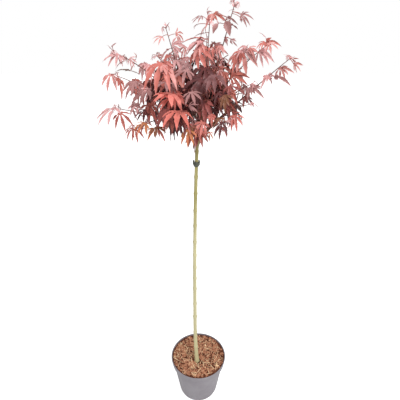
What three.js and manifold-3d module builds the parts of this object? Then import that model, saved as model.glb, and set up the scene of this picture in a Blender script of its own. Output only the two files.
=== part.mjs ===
// A red-leaved Japanese maple grafted on a tall clear stem, in its nursery pot.
// Millimetres, +Z up. The origin is the centre of the pot's flat underside, and the front faces -Y.
import * as THREE from "three";
import { mergeVertices } from "three/addons/utils/BufferGeometryUtils.js";
import Module from "manifold-3d";

const wasm = await Module();
wasm.setup();

// Driving dimensions
const CLEARANCE = 0.3; // between two pieces that touch on the real plant

const POT = {
  height: 170,
  rimRadius: 97.5,
  lip: 3, // the turned-out edge at the top of the collar
  collarHeight: 25,
  collarFoot: 94.3,
  shoulder: 89.5, // the body's radius where it meets the collar
  footRadius: 70,
  footEdge: 13, // height of the bevel round the foot
  sole: 61, // radius of the flat underside
  wall: 2,
  floor: 3,
  segments: 32,
};
const DRAIN = { count: 8, ring: 50, radius: 5, sides: 6 };

const MULCH = {
  surface: 166, // height of the bark layer at the trunk
  crown: 2.5, // how far it bulges between the trunk and the wall
  rough: 1.4, // height of its ripples, whose waves per millimetre in x and y follow
  waves: [
    [0.23, 0.11],
    [-0.07, 0.19],
  ],
  dip: 0.4, // how far it sinks at the trunk
  rings: 4,
  clearOfTrunk: 13, // loose chips stay this far from the trunk's middle
  seatHeight: 10,
  seed: 7,
  seatSides: 16,
};
const CHIPS = { count: 26, length: [9, 20], width: [4, 8], thickness: 4.4, tilt: 0.5, lift: 0.5 };
const GOLDEN_ANGLE = Math.PI * (3 - Math.sqrt(5));

// The trunk's middle line, from just below the mulch (where it is cut off flat) to the graft,
// with the slight bows of a trained stem.
const TRUNK_LINE = [
  [-4.5, -24, MULCH.surface - 8],
  [-7.6, -20, 215],
  [-10.4, -12, 300],
  [-10.6, -7, 430],
  [-9.6, -3, 635],
  [-6, -1, 837],
  [-3.6, 0, 911],
  [-1, 0, 990],
];
const TRUNK = { foot: 6.4, top: 4.4, flare: 2.6, flareHeight: 22, sides: 8 };
const FLARE_RINGS = [0, 8, 16, 26, 42]; // heights above the foot
// Heights of the swollen rings where pairs of buds or side twigs once sat.
const TRUNK_NODES = [236, 300, 367, 425, 488, 530, 573, 618, 665, 722, 772, 826, 877, 948];
const NODE_SWELL = { height: 5, bulge: 0.9 };
// Two stubs of cut twigs show on one ring.
const BUD_STUB = { height: 367, reach: 10, rise: 6, root: 2.2, tip: 1.1, sides: 5 };
// The knob at the top of the trunk. forks is how far below the top the boughs start, and rings the
// distances below the top of the rings of corners that shape it.
const GRAFT = { bulge: 5, spread: 11, forks: 8.8, rings: [30, 22, 16, 11, 6, 2, 0] };

const TIE = { middle: 915, height: 15, halfWidth: 8.6, halfDepth: 7.2, sides: 16 };
const TIE_KNOT = { radius: 2.6, height: 10, sides: 8, ahead: 1, above: 1.5 };

// Branches of the crown. Each is one curve from where it forks (the graft knob, or another branch
// at a share of its length) to its tip. Its lower part is a bough, the rest is the stem of a mass
// of leaves. arch is how far its middle is lifted above the straight line, and leaf is the size of
// its leaves where they are smaller.
const BRANCHES = {
  top_right_spire: { tip: [80, -20, 1286], arch: 4 },
  top_middle: { from: "top_right_spire", at: 0.2, tip: [26, -62, 1250], arch: 8 },
  top_back: { from: "top_right_spire", at: 0.15, tip: [24, 88, 1216], arch: 16 },
  right_high: { from: "top_right_spire", at: 0.22, tip: [148, -56, 1206], arch: 14 },
  top_left_spire: { tip: [-70, 0, 1238], arch: 4 },
  left_high: { from: "top_left_spire", at: 0.22, tip: [-184, -30, 1190], arch: 20, leaf: 0.85 },
  back_left_high: { from: "top_left_spire", at: 0.16, tip: [-108, 108, 1172], arch: 22 },
  left_middle: { tip: [-172, -72, 1146], arch: 24 },
  left_low: { from: "left_middle", at: 0.2, tip: [-182, -84, 1080], arch: 4, leaf: 0.75 },
  left_front_low: { from: "left_middle", at: 0.12, tip: [-92, -122, 1082], arch: 16, leaf: 0.85 },
  front_high: { tip: [-66, -150, 1178], arch: 26 },
  front_middle: { from: "front_high", at: 0.2, tip: [-24, -190, 1118], arch: 26 },
  front_low: { from: "front_high", at: 0.12, tip: [-30, -138, 1062], arch: 26 },
  front_right: { tip: [44, -162, 1160], arch: 26 },
  front_hanging: { from: "front_right", at: 0.12, tip: [46, -118, 1062], arch: 24 },
  right_front: { from: "front_right", at: 0.2, tip: [116, -104, 1136], arch: 12 },
  right_middle: { tip: [208, -20, 1176], arch: 4 },
  right_low: { from: "right_middle", at: 0.18, tip: [124, -52, 1082], arch: 10, leaf: 0.85 },
  back_right_low: { from: "right_middle", at: 0.12, tip: [112, 112, 1084], arch: 28 },
  back_middle: { tip: [18, 186, 1122], arch: 34 },
  back_low: { from: "back_middle", at: 0.14, tip: [2, 146, 1062], arch: 24 },
  back_right_high: { from: "back_middle", at: 0.18, tip: [120, 96, 1170], arch: 20 },
  back_left_low: { from: "back_middle", at: 0.2, tip: [-128, 104, 1086], arch: 30 },
};
const BRANCH = {
  split: 0.34, // share of the length that is bough
  root: 4.4, // radius where a bough leaves the trunk
  fork: 3.2, // radius where a bough leaves another
  tip: 1.1,
  fineness: 1.3,
  sides: 5,
  steps: 3,
};

// The rule by which a mass grows. A lean gives how far a thing points aside, ahead along what it
// grows from, and up.
const SHOOT = { sides: 4, steps: 4, nodeGap: 25, firstNode: 0.04, lastNode: 0.97, swing: 40 };
const TWIG = { root: 1.3, tip: 0.9, length: [44, 66], atNodes: 2, sides: 3, steps: 2, arch: 0.08 };
TWIG.lean = { aside: 0.8, ahead: 0.55, up: 0.25 };
TWIG.pairs = [
  { at: 0.5, turn: 0, size: 0.95 },
  { at: 0.96, turn: 90, size: 0.72 },
];
TWIG.swing = 30;
const PETIOLE = { length: [24, 40], radius: 0.8, corners: [210, 90, -30] };
PETIOLE.lean = { aside: 0.85, ahead: 0.45, up: 0.3 };
const STEEP = 0.03; // below this a level direction is too short to be used
const LEAF = {
  length: [50, 66], // of the middle lobe
  young: 0.5, // size of the leaves at a shoot's tip
  halfThickness: 0.6,
  droop: [28, 72], // degrees that the middle lobe points below level
  roll: 22,
  swing: 50, // degrees over which the middle lobe's heading varies
  curl: 0.26, // how far the tips hang below the blade's plane, as a share of its length
  joint: 0.05, // the blade's middle ahead of the stalk's end
  hiddenStalk: 0.2, // share of the stalk's lower part that may lie in its twig
};
const LOBES = [
  { angle: 0, length: 1.0, width: 0.2 },
  { angle: 34, length: 0.92, width: 0.2 },
  { angle: 71, length: 0.68, width: 0 },
];
const LOBE_WIDEST = 0.48; // share of a lobe's length
const SINUS = [0.24, 0.23]; // where the cuts between the lobes end
const OWN_SPACE = 1.2; // a mass keeps this far inside the border of its own space
const LIMB_ROOM = 1.6; // and leaves stay this far from the wood of other pieces

// What is tried in turn to fit a leaf in: its size, a swing round its twig and a change of droop
const LEAF_FITS = [];
for (const scale of [1, 0.82, 0.66])
  for (const dip of [0, 18, -18])
    for (const turn of [0, 18, -18, 36, -36, 58, -58, 84, -84, 112, -112])
      LEAF_FITS.push({ scale, turn, dip });

const COLOURS = {
  pot: { color: 0x9a969b, roughness: 0.55 },
  mulch: { color: 0x86543a, roughness: 0.95 },
  bark: { color: 0xb0a56c, roughness: 0.6 },
  twig: { color: 0x6b3a34, roughness: 0.6 },
  tie: { color: 0x54584c, roughness: 0.6 },
  leaf: { color: 0xb4645c, roughness: 0.6 },
};

// Seeded numbers and small helpers
function seeded(seed) {
  let state = seed >>> 0;
  return () => {
    state = (state + 0x6d2b79f5) >>> 0;
    let mixed = Math.imul(state ^ (state >>> 15), state | 1);
    mixed = (mixed + Math.imul(mixed ^ (mixed >>> 7), mixed | 61)) ^ mixed;
    return ((mixed ^ (mixed >>> 14)) >>> 0) / 4294967296;
  };
}

const between = (range, share) => range[0] + (range[1] - range[0]) * share;
const radians = (degrees) => (degrees * Math.PI) / 180;
const vector = (array) => new THREE.Vector3(...array);
const UP = new THREE.Vector3(0, 0, 1);

// Solids
function solidOf(geometry) {
  const bare = new THREE.BufferGeometry();
  bare.setAttribute("position", geometry.getAttribute("position"));
  bare.setIndex(geometry.index);
  const merged = mergeVertices(bare, 1e-4);
  const mesh = new wasm.Mesh({
    numProp: 3,
    vertProperties: new Float32Array(merged.attributes.position.array),
    triVerts: new Uint32Array(merged.index.array),
  });
  return new wasm.Manifold(mesh);
}

function geometryOf(solid) {
  const mesh = solid.getMesh();
  const geometry = new THREE.BufferGeometry();
  geometry.setAttribute("position", new THREE.BufferAttribute(mesh.vertProperties, 3));
  geometry.setIndex(new THREE.BufferAttribute(mesh.triVerts, 1));
  return geometry;
}

const largestBody = (solid) => solid.decompose().sort((a, b) => b.volume() - a.volume())[0];

const evenShares = (steps) => Array.from({ length: steps + 1 }, (_, i) => i / steps);

// A cylinder of unit size whose rings are laid along a curve, at the given shares of its length.
// radiusAt takes such a share.
function limbGeometry(curve, radiusAt, sides, shares) {
  const steps = shares.length - 1;
  const geometry = new THREE.CylinderGeometry(1, 1, 1, sides, steps);
  const side = new THREE.Vector3(1, 0, 0.02);
  const rings = shares.map((share) => {
    const tangent = curve.getTangentAt(share);
    side.addScaledVector(tangent, -side.dot(tangent)).normalize();
    const other = side.clone().cross(tangent);
    return { place: curve.getPointAt(share), side: side.clone(), other, radius: radiusAt(share) };
  });
  const position = geometry.attributes.position;
  for (let i = 0; i < position.count; i++) {
    const { place, side, other, radius } = rings[Math.round((position.getY(i) + 0.5) * steps)];
    const corner = place.clone().addScaledVector(side, position.getX(i) * radius);
    corner.addScaledVector(other, position.getZ(i) * radius);
    position.setXYZ(i, corner.x, corner.y, corner.z);
  }
  return geometry;
}

const taper = (from, to) => (share) => from + (to - from) * share;

// The trunk, with its root flare, bud rings and graft knob
const trunkCurve = new THREE.CatmullRomCurve3(TRUNK_LINE.map(vector));
const trunkTop = vector(TRUNK_LINE.at(-1));
const trunkStart = TRUNK_LINE[0][2];
const trunkShare = (height) => (height - trunkStart) / (trunkTop.z - trunkStart);
const trunkPointAt = (height) => trunkCurve.getPointAt(trunkShare(height));
const swell = (height, middle, spread) => Math.exp(-(((height - middle) / spread) ** 2));

function trunkRadius(share, extra = 0) {
  const height = trunkCurve.getPointAt(share).z;
  const aboveFoot = height - MULCH.surface;
  let radius = TRUNK.foot + (TRUNK.top - TRUNK.foot) * share;
  radius += TRUNK.flare * Math.exp(-aboveFoot / TRUNK.flareHeight);
  for (const node of TRUNK_NODES)
    radius += NODE_SWELL.bulge * swell(height, node, NODE_SWELL.height);
  radius += GRAFT.bulge * swell(height, trunkTop.z - GRAFT.spread, GRAFT.spread);
  return radius + extra;
}

// Three rings of corners shape each swollen ring, and more shape the foot and the knob.
function trunkGeometry(extra = 0) {
  const heights = FLARE_RINGS.map((above) => trunkStart + above);
  for (const node of TRUNK_NODES)
    heights.push(node - NODE_SWELL.height * 1.4, node, node + NODE_SWELL.height * 1.4);
  heights.push(...GRAFT.rings.map((below) => trunkTop.z - below));
  const radiusAt = (share) => trunkRadius(share, extra);
  return limbGeometry(trunkCurve, radiusAt, TRUNK.sides, heights.map(trunkShare));
}

function budStub(side) {
  const onTrunk = trunkPointAt(BUD_STUB.height);
  const out = new THREE.Vector3(side * BUD_STUB.reach, 0, BUD_STUB.rise);
  const curve = new THREE.LineCurve3(onTrunk, onTrunk.clone().add(out));
  return solidOf(limbGeometry(curve, taper(BUD_STUB.root, BUD_STUB.tip), BUD_STUB.sides, evenShares(1)));
}

function trunkSolid() {
  const whole = solidOf(trunkGeometry()).add(budStub(-1)).add(budStub(1));
  return whole.trimByPlane([0, 0, 1], MULCH.surface + CLEARANCE);
}

// The soft tie: an oval band round the trunk, with a knot on each side
function tieSolid() {
  const middle = trunkPointAt(TIE.middle);
  const band = new THREE.CylinderGeometry(1, 1, TIE.height, TIE.sides, 1);
  band.rotateX(Math.PI / 2).scale(TIE.halfWidth - TIE_KNOT.radius / 2, TIE.halfDepth, 1);
  band.translate(middle.x, middle.y, middle.z);
  let solid = solidOf(band);
  for (const side of [-1, 1]) {
    const { radius, height, sides, ahead, above } = TIE_KNOT;
    const knot = new THREE.CylinderGeometry(radius, radius, height, sides, 1);
    knot.rotateX(Math.PI / 2);
    knot.translate(middle.x + side * (TIE.halfWidth - radius), middle.y - ahead, middle.z + above);
    solid = solid.add(solidOf(knot));
  }
  return solid.subtract(solidOf(trunkGeometry(CLEARANCE)));
}

// Branches: a whole one as a curve, its radius along it, and its two parts
function branchCurve(branch) {
  const tip = vector(branch.tip);
  const knob = trunkTop.clone().addScaledVector(UP, -GRAFT.forks);
  const root = branch.from ? branchCurve(BRANCHES[branch.from]).getPointAt(branch.at) : knob;
  const bend = root.clone().lerp(tip, 0.5).addScaledVector(UP, 2 * branch.arch);
  return new THREE.QuadraticBezierCurve3(root, bend, tip);
}

function branchRadius(branch, share) {
  const root = branch.from ? BRANCH.fork : BRANCH.root;
  return BRANCH.tip + (root - BRANCH.tip) * (1 - share) ** BRANCH.fineness;
}

// The stretch of a curve between two shares of its length
class Stretch extends THREE.Curve {
  constructor(whole, from, to) {
    super();
    Object.assign(this, { whole, from, to });
  }

  getPoint(share, target = new THREE.Vector3()) {
    return target.copy(this.whole.getPointAt(this.from + (this.to - this.from) * share));
  }
}

function stretchSolid(branch, from, to, sides, steps, extra = 0) {
  const curve = new Stretch(branchCurve(branch), from, to);
  const radiusAt = (share) => branchRadius(branch, from + (to - from) * share) + extra;
  return solidOf(limbGeometry(curve, radiusAt, sides, evenShares(steps)));
}

const boughSolid = (branch, extra = 0) =>
  stretchSolid(branch, 0, BRANCH.split, BRANCH.sides, BRANCH.steps, extra);

// Growth: where the shoots, twigs, leaf stalks and leaves of a mass lie
function shootCurve(branch) {
  const whole = branchCurve(branch);
  return new Stretch(whole, BRANCH.split + CLEARANCE / whole.getLength(), 1);
}

// The side direction of a pair of leaves. Each pair is turned a quarter from the last.
function pairSide(tangent, turn) {
  const level = new THREE.Vector3(0, 0, 1).cross(tangent);
  if (level.lengthSq() < STEEP) level.set(1, 0.3, 0);
  return level.normalize().applyAxisAngle(tangent, turn);
}

function leaning(side, tangent, { aside, ahead, up }) {
  const out = side.clone().multiplyScalar(aside).addScaledVector(tangent, ahead);
  return out.addScaledVector(UP, up).normalize();
}

function leafAt(place, side, tangent, size, random) {
  const out = leaning(side, tangent, PETIOLE.lean);
  const stalk = between(PETIOLE.length, random()) * Math.sqrt(size);
  const joint = place.clone().addScaledVector(out, stalk);
  const heading = new THREE.Vector3(out.x, out.y, 0);
  if (heading.lengthSq() < STEEP) heading.set(side.x, side.y, 0);
  heading.normalize().applyAxisAngle(UP, radians(LEAF.swing) * (random() - 0.5));
  return {
    place: place.clone(),
    joint,
    heading,
    droop: radians(between(LEAF.droop, random())),
    roll: radians(LEAF.roll) * (2 * random() - 1),
    length: between(LEAF.length, random()) * size,
  };
}

function pairAt(curve, share, turn, size, random) {
  const place = curve.getPointAt(share);
  const tangent = curve.getTangentAt(share);
  return [0, Math.PI].map((half) =>
    leafAt(place, pairSide(tangent, turn + half), tangent, size, random),
  );
}

function growMass(branch, seed) {
  const random = seeded(seed);
  const scale = branch.leaf ?? 1;
  const stem = shootCurve(branch);
  const count = Math.max(3, Math.round(stem.getLength() / SHOOT.nodeGap));
  const grown = { stem, twigs: [], leaves: [] };
  for (let i = 0; i < count; i++) {
    const share = SHOOT.firstNode + ((SHOOT.lastNode - SHOOT.firstNode) * i) / (count - 1);
    const turn = (i % 2) * (Math.PI / 2) + radians(SHOOT.swing) * (random() - 0.5);
    const age = 1 - (i / (count - 1)) ** 3;
    const size = (LEAF.young + (1 - LEAF.young) * age) * scale;
    grown.leaves.push(...pairAt(stem, share, turn, size, random));
    if (i < TWIG.atNodes) grown.twigs.push(twigFrom(stem, share, turn + Math.PI / 2, scale, random));
  }
  return grown;
}

// A side twig, with a pair of leaves on its way and a pair at its end
function twigFrom(stem, share, turn, scale, random) {
  const place = stem.getPointAt(share);
  const tangent = stem.getTangentAt(share);
  const side = pairSide(tangent, random() < 0.5 ? turn : turn + Math.PI);
  const length = between(TWIG.length, random());
  const tip = place.clone().addScaledVector(leaning(side, tangent, TWIG.lean), length);
  const bend = place.clone().lerp(tip, 0.5).addScaledVector(UP, length * TWIG.arch);
  const curve = new THREE.QuadraticBezierCurve3(place, bend, tip);
  const leaves = TWIG.pairs.flatMap((pair) =>
    pairAt(curve, pair.at, radians(pair.turn + TWIG.swing * random()), pair.size * scale, random),
  );
  return { curve, leaves };
}

// The leaf blade: pointed lobes that spread like fingers from the end of the stalk.
// Each point of its edge is [forward, sideways], as a share of the middle lobe.
function leafOutline() {
  const outer = LOBES.length - 1;
  const points = [];
  for (let lobe = -outer; lobe <= outer; lobe++) {
    const { angle, length, width } = LOBES[Math.abs(lobe)];
    const turn = radians(Math.sign(lobe) * angle);
    const at = (along, across) => [
      along * Math.cos(turn) - across * Math.sin(turn),
      along * Math.sin(turn) + across * Math.cos(turn),
    ];
    if (width) points.push(at(length * LOBE_WIDEST, (-width * length) / 2));
    points.push(at(length, 0));
    if (width) points.push(at(length * LOBE_WIDEST, (width * length) / 2));
    if (lobe < outer) {
      const next = Math.min(Math.abs(lobe), Math.abs(lobe + 1));
      const nextAngle = Math.sign(lobe + 1) * LOBES[Math.abs(lobe + 1)].angle;
      const middle = radians((Math.sign(lobe) * angle + nextAngle) / 2);
      points.push([SINUS[next] * Math.cos(middle), SINUS[next] * Math.sin(middle)]);
    }
  }
  return points;
}

const OUTLINE = leafOutline();

function leafPoints(leaf) {
  const forward = leaf.heading.clone().multiplyScalar(Math.cos(leaf.droop));
  forward.addScaledVector(UP, -Math.sin(leaf.droop));
  const face = leaf.heading.clone().multiplyScalar(Math.sin(leaf.droop));
  face.addScaledVector(UP, Math.cos(leaf.droop)).applyAxisAngle(forward, leaf.roll);
  const across = face.clone().cross(forward);
  const at = (u, v, w) =>
    leaf.joint
      .clone()
      .addScaledVector(forward, u * leaf.length)
      .addScaledVector(across, v * leaf.length)
      .addScaledVector(face, w);
  const edge = OUTLINE.map(([u, v]) => at(u, v, -LEAF.curl * leaf.length * (u * u + v * v)));
  const middle = (w) => at(LEAF.joint, 0, w);
  return { edge, forward, across, middle };
}

// Three corners of the stalk (right, crest, left) where it points along the given direction
function stalkRing(place, direction, across) {
  const side = across.clone().addScaledVector(direction, -across.dot(direction)).normalize();
  const top = direction.clone().cross(side);
  const corner = (turn) =>
    place
      .clone()
      .addScaledVector(side, PETIOLE.radius * Math.cos(radians(turn)))
      .addScaledVector(top, PETIOLE.radius * Math.sin(radians(turn)));
  return PETIOLE.corners.map(corner);
}

// One closed mesh: the stalk as a three-sided tube from the twig, opening into the blade.
// from is the share of the stalk's lower part that is left off.
function leafSolid(leaf, from = 0) {
  const { edge, forward, across, middle } = leafPoints(leaf);
  const start = leaf.place.clone().lerp(leaf.joint, from);
  const reach = leaf.joint.clone().sub(leaf.place).normalize();
  const rings = [
    stalkRing(start, reach, across),
    stalkRing(leaf.joint, reach.clone().add(forward).normalize(), across),
  ];
  const points = rings.flat();
  const faces = [0, 1, 2];
  for (let side = 0; side < 3; side++) {
    const next = (side + 1) % 3;
    faces.push(side, side + 3, next + 3, side, next + 3, next);
  }
  const [right, crest, left] = [3, 4, 5];
  const rim = [right, ...edge.map((point, i) => points.length + i), left];
  points.push(...edge, middle(LEAF.halfThickness), middle(-LEAF.halfThickness));
  const [top, under] = [points.length - 2, points.length - 1];
  for (let i = 0; i + 1 < rim.length; i++)
    faces.push(top, rim[i], rim[i + 1], under, rim[i + 1], rim[i]);
  faces.push(top, left, crest, top, crest, right, under, right, left);
  const geometry = new THREE.BufferGeometry();
  const positions = points.flatMap((point) => point.toArray());
  geometry.setAttribute("position", new THREE.Float32BufferAttribute(positions, 3));
  geometry.setIndex(faces);
  return solidOf(geometry);
}

// Own spaces: a point belongs to the mass whose main shoot is nearest
function distanceToLine(point, line) {
  let nearest = Infinity;
  const segment = new THREE.Line3();
  const closest = new THREE.Vector3();
  for (let i = 0; i + 1 < line.length; i++) {
    segment.set(line[i], line[i + 1]).closestPointToPoint(point, true, closest);
    nearest = Math.min(nearest, closest.distanceTo(point));
  }
  return nearest;
}

const branchNames = Object.keys(BRANCHES);
const shootLines = branchNames.map((name) => shootCurve(BRANCHES[name]).getPoints(8));
const limbLines = [
  { line: trunkCurve.getPoints(40).slice(-10), radius: TRUNK.top + GRAFT.bulge },
  ...Object.values(BRANCHES).map((branch) => ({
    line: new Stretch(branchCurve(branch), 0, BRANCH.split).getPoints(6),
    radius: branch.from ? BRANCH.fork : BRANCH.root,
  })),
];

function inOwnSpace(points, own) {
  return points.every((point) => {
    const home = distanceToLine(point, shootLines[own]) + OWN_SPACE;
    if (shootLines.some((line, i) => i !== own && distanceToLine(point, line) - OWN_SPACE < home))
      return false;
    return limbLines.every(({ line, radius }) => distanceToLine(point, line) > radius + LIMB_ROOM);
  });
}

// The leaf as it grew, or swung round, raised or smaller where only that keeps it in its own
// space and clear of the leaves already there
function fittedLeaf(leaf, own, others) {
  for (const { scale, turn, dip } of LEAF_FITS) {
    const swing = leaf.joint.clone().sub(leaf.place).applyAxisAngle(UP, radians(turn));
    const tried = {
      place: leaf.place,
      joint: leaf.place.clone().add(swing),
      heading: leaf.heading.clone().applyAxisAngle(UP, radians(turn)),
      droop: leaf.droop + radians(dip),
      roll: leaf.roll,
      length: leaf.length * scale,
    };
    const { edge, middle } = leafPoints(tried);
    const centre = middle(0);
    const halfway = edge.map((point) => point.clone().lerp(centre, 0.5));
    if (!inOwnSpace([...edge, ...halfway, centre], own)) continue;
    if (others.intersect(leafSolid(tried, LEAF.hiddenStalk)).isEmpty()) return leafSolid(tried);
  }
  return null;
}

const twigSolid = (curve) =>
  solidOf(limbGeometry(curve, taper(TWIG.root, TWIG.tip), TWIG.sides, evenShares(TWIG.steps)));

function massSolid(name, own) {
  const branch = BRANCHES[name];
  const grown = growMass(branch, own + 1);
  let solid = stretchSolid(branch, grown.stem.from, 1, SHOOT.sides, SHOOT.steps);
  const leaves = [...grown.leaves];
  for (const twig of grown.twigs) {
    if (!inOwnSpace(twig.curve.getPoints(4).slice(2), own)) continue;
    solid = solid.add(twigSolid(twig.curve));
    leaves.push(...twig.leaves);
  }
  for (const leaf of leaves) {
    const fitted = fittedLeaf(leaf, own, solid);
    if (fitted) solid = solid.add(fitted);
  }
  return solid;
}

// The pot, turned from its profile, with drain holes in the floor
function potProfile() {
  const { height, rimRadius, lip, collarHeight, collarFoot, shoulder } = POT;
  const { footRadius, footEdge, sole, wall, floor } = POT;
  const collarBottom = height - collarHeight;
  return [
    [0, 0],
    [sole, 0],
    [sole + (footRadius - sole) * 0.7, footEdge * 0.4],
    [footRadius, footEdge],
    [shoulder, collarBottom],
    [collarFoot, collarBottom + 1.5],
    [rimRadius - 1.4, height - lip - 1],
    [rimRadius, height - lip],
    [rimRadius, height - 0.8],
    [rimRadius - 0.8, height],
    [rimRadius - lip, height],
    [collarFoot - wall, collarBottom + 5],
    [shoulder - wall, collarBottom + 1],
    [footRadius - wall, footEdge],
    [sole - wall, floor],
    [0, floor],
  ];
}

const lathe = (profile, segments) => {
  const points = profile.map(([radius, z]) => new THREE.Vector2(radius, z));
  return new THREE.LatheGeometry(points, segments).rotateX(Math.PI / 2);
};

function potSolid() {
  let solid = solidOf(lathe(potProfile(), POT.segments));
  for (let i = 0; i < DRAIN.count; i++) {
    const hole = new THREE.CylinderGeometry(DRAIN.radius, DRAIN.radius, POT.floor * 4, DRAIN.sides);
    const turn = (2 * Math.PI * i) / DRAIN.count;
    hole.rotateX(Math.PI / 2).translate(DRAIN.ring * Math.cos(turn), DRAIN.ring * Math.sin(turn), 0);
    solid = solid.subtract(solidOf(hole));
  }
  return solid;
}

// The root ball and the bark mulch on it, one filling of the pot
const foot = trunkPointAt(MULCH.surface);

function mulchHeight(x, y) {
  const radius = Math.hypot(x, y) / POT.rimRadius;
  const [first, second] = MULCH.waves.map(([alongX, alongY]) => x * alongX + y * alongY);
  const ripple = Math.sin(first) * Math.cos(second);
  const aside = Math.hypot(x - foot.x, y - foot.y);
  const free = THREE.MathUtils.smoothstep(aside, TRUNK.foot * 1.5, TRUNK.foot * 3.5);
  const bulge = MULCH.crown * (1 - radius ** 2) + MULCH.rough * ripple;
  return MULCH.surface + free * bulge - (1 - free) * MULCH.dip;
}

function mulchSolid(random) {
  const wallSide = potProfile().slice(-5, -1);
  const raised = (z) => (z > POT.footEdge ? z : z + CLEARANCE);
  const inside = wallSide.map(([radius, z]) => [radius - CLEARANCE, raised(z)]);
  const [collarInner, bodyInner, bevelTop, floorEdge] = inside;
  const slope = (POT.rimRadius - POT.lip - CLEARANCE - collarInner[0]) / (POT.height - collarInner[1]);
  const edge = collarInner[0] + slope * (MULCH.surface - collarInner[1]);
  const profile = [[0, POT.floor + CLEARANCE], floorEdge, bevelTop, bodyInner, collarInner];
  for (let ring = 0; ring <= MULCH.rings; ring++)
    profile.push([edge * (1 - ring / MULCH.rings), MULCH.surface]);
  const filling = lathe(profile, POT.segments);
  const position = filling.attributes.position;
  for (let i = 0; i < position.count; i++) {
    if (Math.abs(position.getZ(i) - MULCH.surface) > 1e-3) continue;
    position.setZ(i, mulchHeight(position.getX(i), position.getY(i)));
  }
  let solid = solidOf(filling);
  for (let i = 0; i < CHIPS.count; i++) {
    const turn = i * GOLDEN_ANGLE;
    const length = between(CHIPS.length, random());
    const reach = (edge - length * 0.62) * Math.sqrt((i + 0.5) / CHIPS.count);
    const x = reach * Math.cos(turn);
    const y = reach * Math.sin(turn);
    const chip = new THREE.BoxGeometry(length, between(CHIPS.width, random()), CHIPS.thickness);
    chip.rotateX(CHIPS.tilt * (random() - 0.5)).rotateY(CHIPS.tilt * (random() - 0.5));
    chip.rotateZ(Math.PI * random()).translate(x, y, mulchHeight(x, y) + CHIPS.lift);
    const aside = Math.hypot(x - foot.x, y - foot.y);
    if (aside > MULCH.clearOfTrunk + length / 2) solid = solid.add(solidOf(chip));
  }
  // The flat seat that the trunk's cut stands on
  const { clearOfTrunk, seatHeight, seatSides } = MULCH;
  const seat = new THREE.CylinderGeometry(clearOfTrunk, clearOfTrunk, seatHeight, seatSides, 1);
  seat.rotateX(Math.PI / 2).translate(foot.x, foot.y, MULCH.surface + seatHeight / 2);
  return solid.subtract(solidOf(seat));
}

// Assembly
const tree = new THREE.Group();

function addNode(name, solid, look) {
  const material = new THREE.MeshStandardMaterial({ ...COLOURS[look], metalness: 0 });
  const mesh = new THREE.Mesh(geometryOf(solid), material);
  mesh.name = name;
  tree.add(mesh);
}

addNode("pot", potSolid(), "pot");
addNode("mulch", mulchSolid(seeded(MULCH.seed)), "mulch");
addNode("trunk", trunkSolid(), "bark");
addNode("stem_tie", tieSolid(), "tie");

// Each bough is cut back from the trunk and from the boughs before it.
let taken = solidOf(trunkGeometry(CLEARANCE));
for (const [name, branch] of Object.entries(BRANCHES)) {
  addNode("bough_" + name, largestBody(boughSolid(branch).subtract(taken)), "twig");
  taken = taken.add(boughSolid(branch, CLEARANCE));
}

branchNames.forEach((name, own) => addNode("foliage_" + name, massSolid(name, own), "leaf"));

export default tree;
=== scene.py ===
import math

import bpy
import numpy as np
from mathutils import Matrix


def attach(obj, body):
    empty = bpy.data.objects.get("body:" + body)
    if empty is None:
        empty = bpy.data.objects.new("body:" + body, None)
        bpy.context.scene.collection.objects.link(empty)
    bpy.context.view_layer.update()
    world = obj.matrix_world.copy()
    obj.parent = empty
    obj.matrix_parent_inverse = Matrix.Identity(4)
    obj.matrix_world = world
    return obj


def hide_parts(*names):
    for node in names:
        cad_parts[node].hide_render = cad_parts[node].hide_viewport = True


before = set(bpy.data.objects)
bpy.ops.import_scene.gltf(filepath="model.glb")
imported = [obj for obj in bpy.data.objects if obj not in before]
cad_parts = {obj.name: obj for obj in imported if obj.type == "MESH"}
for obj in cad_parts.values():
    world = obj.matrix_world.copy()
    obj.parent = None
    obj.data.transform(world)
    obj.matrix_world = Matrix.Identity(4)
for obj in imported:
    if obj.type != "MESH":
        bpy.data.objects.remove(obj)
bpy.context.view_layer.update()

MM = 0.001
UP = np.array([0.0, 0.0, 1.0])
FULL_TURN = 2 * math.pi
SEEDS = {"bed": 11, "shreds": 23, "crown": 31}

# Camera: where it stands, how far it looks down, its lens on a 36 mm wide sensor, the side of its
# picture in pixels, and its focal length in these
CAMERA = {"place": (6, -865, 1262), "looks_down": 27.8, "lens": 31.5, "sensor": 36.0}
IMAGE_SIDE = 400
EYE = np.array(CAMERA["place"], float)
LOOK_DOWN = math.radians(CAMERA["looks_down"])
FOCAL = IMAGE_SIDE * CAMERA["lens"] / CAMERA["sensor"]

# The studio, in metres: the light's place, target, size and power, how bright the white is as a light
# and as the camera sees it, and half the side of the floor
KEY_LIGHT = {"place": (0.9, -1.5, 2.7), "target": (0, 0, 0.9), "size": 0.9, "power": 45}
BACKDROP = {"world": (0.7, 1.0), "floor": (0.0, 0.7), "half_side": 8.0}

# The pot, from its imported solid: radii, heights and thicknesses. "sunk" is how far the underside of its
# floor is above its sole, and "ring" how wide the sole's ring is.
POT = {
    "height": 170, "rim": 97.5, "lip": 3, "collar_height": 25, "collar_foot": 94.3, "collar_inside": 5,
    "shoulder": 89.5, "foot": 70, "foot_edge": 13, "sole": 61, "ring": 4, "wall": 2, "floor": 3,
    "sunk": 1.2, "groove": 0.5, "eased": 1.4, "segments": 128,
}
DRAIN = {"count": 8, "ring": 50, "radius": 5, "around": 16, "steps": 6}

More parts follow.
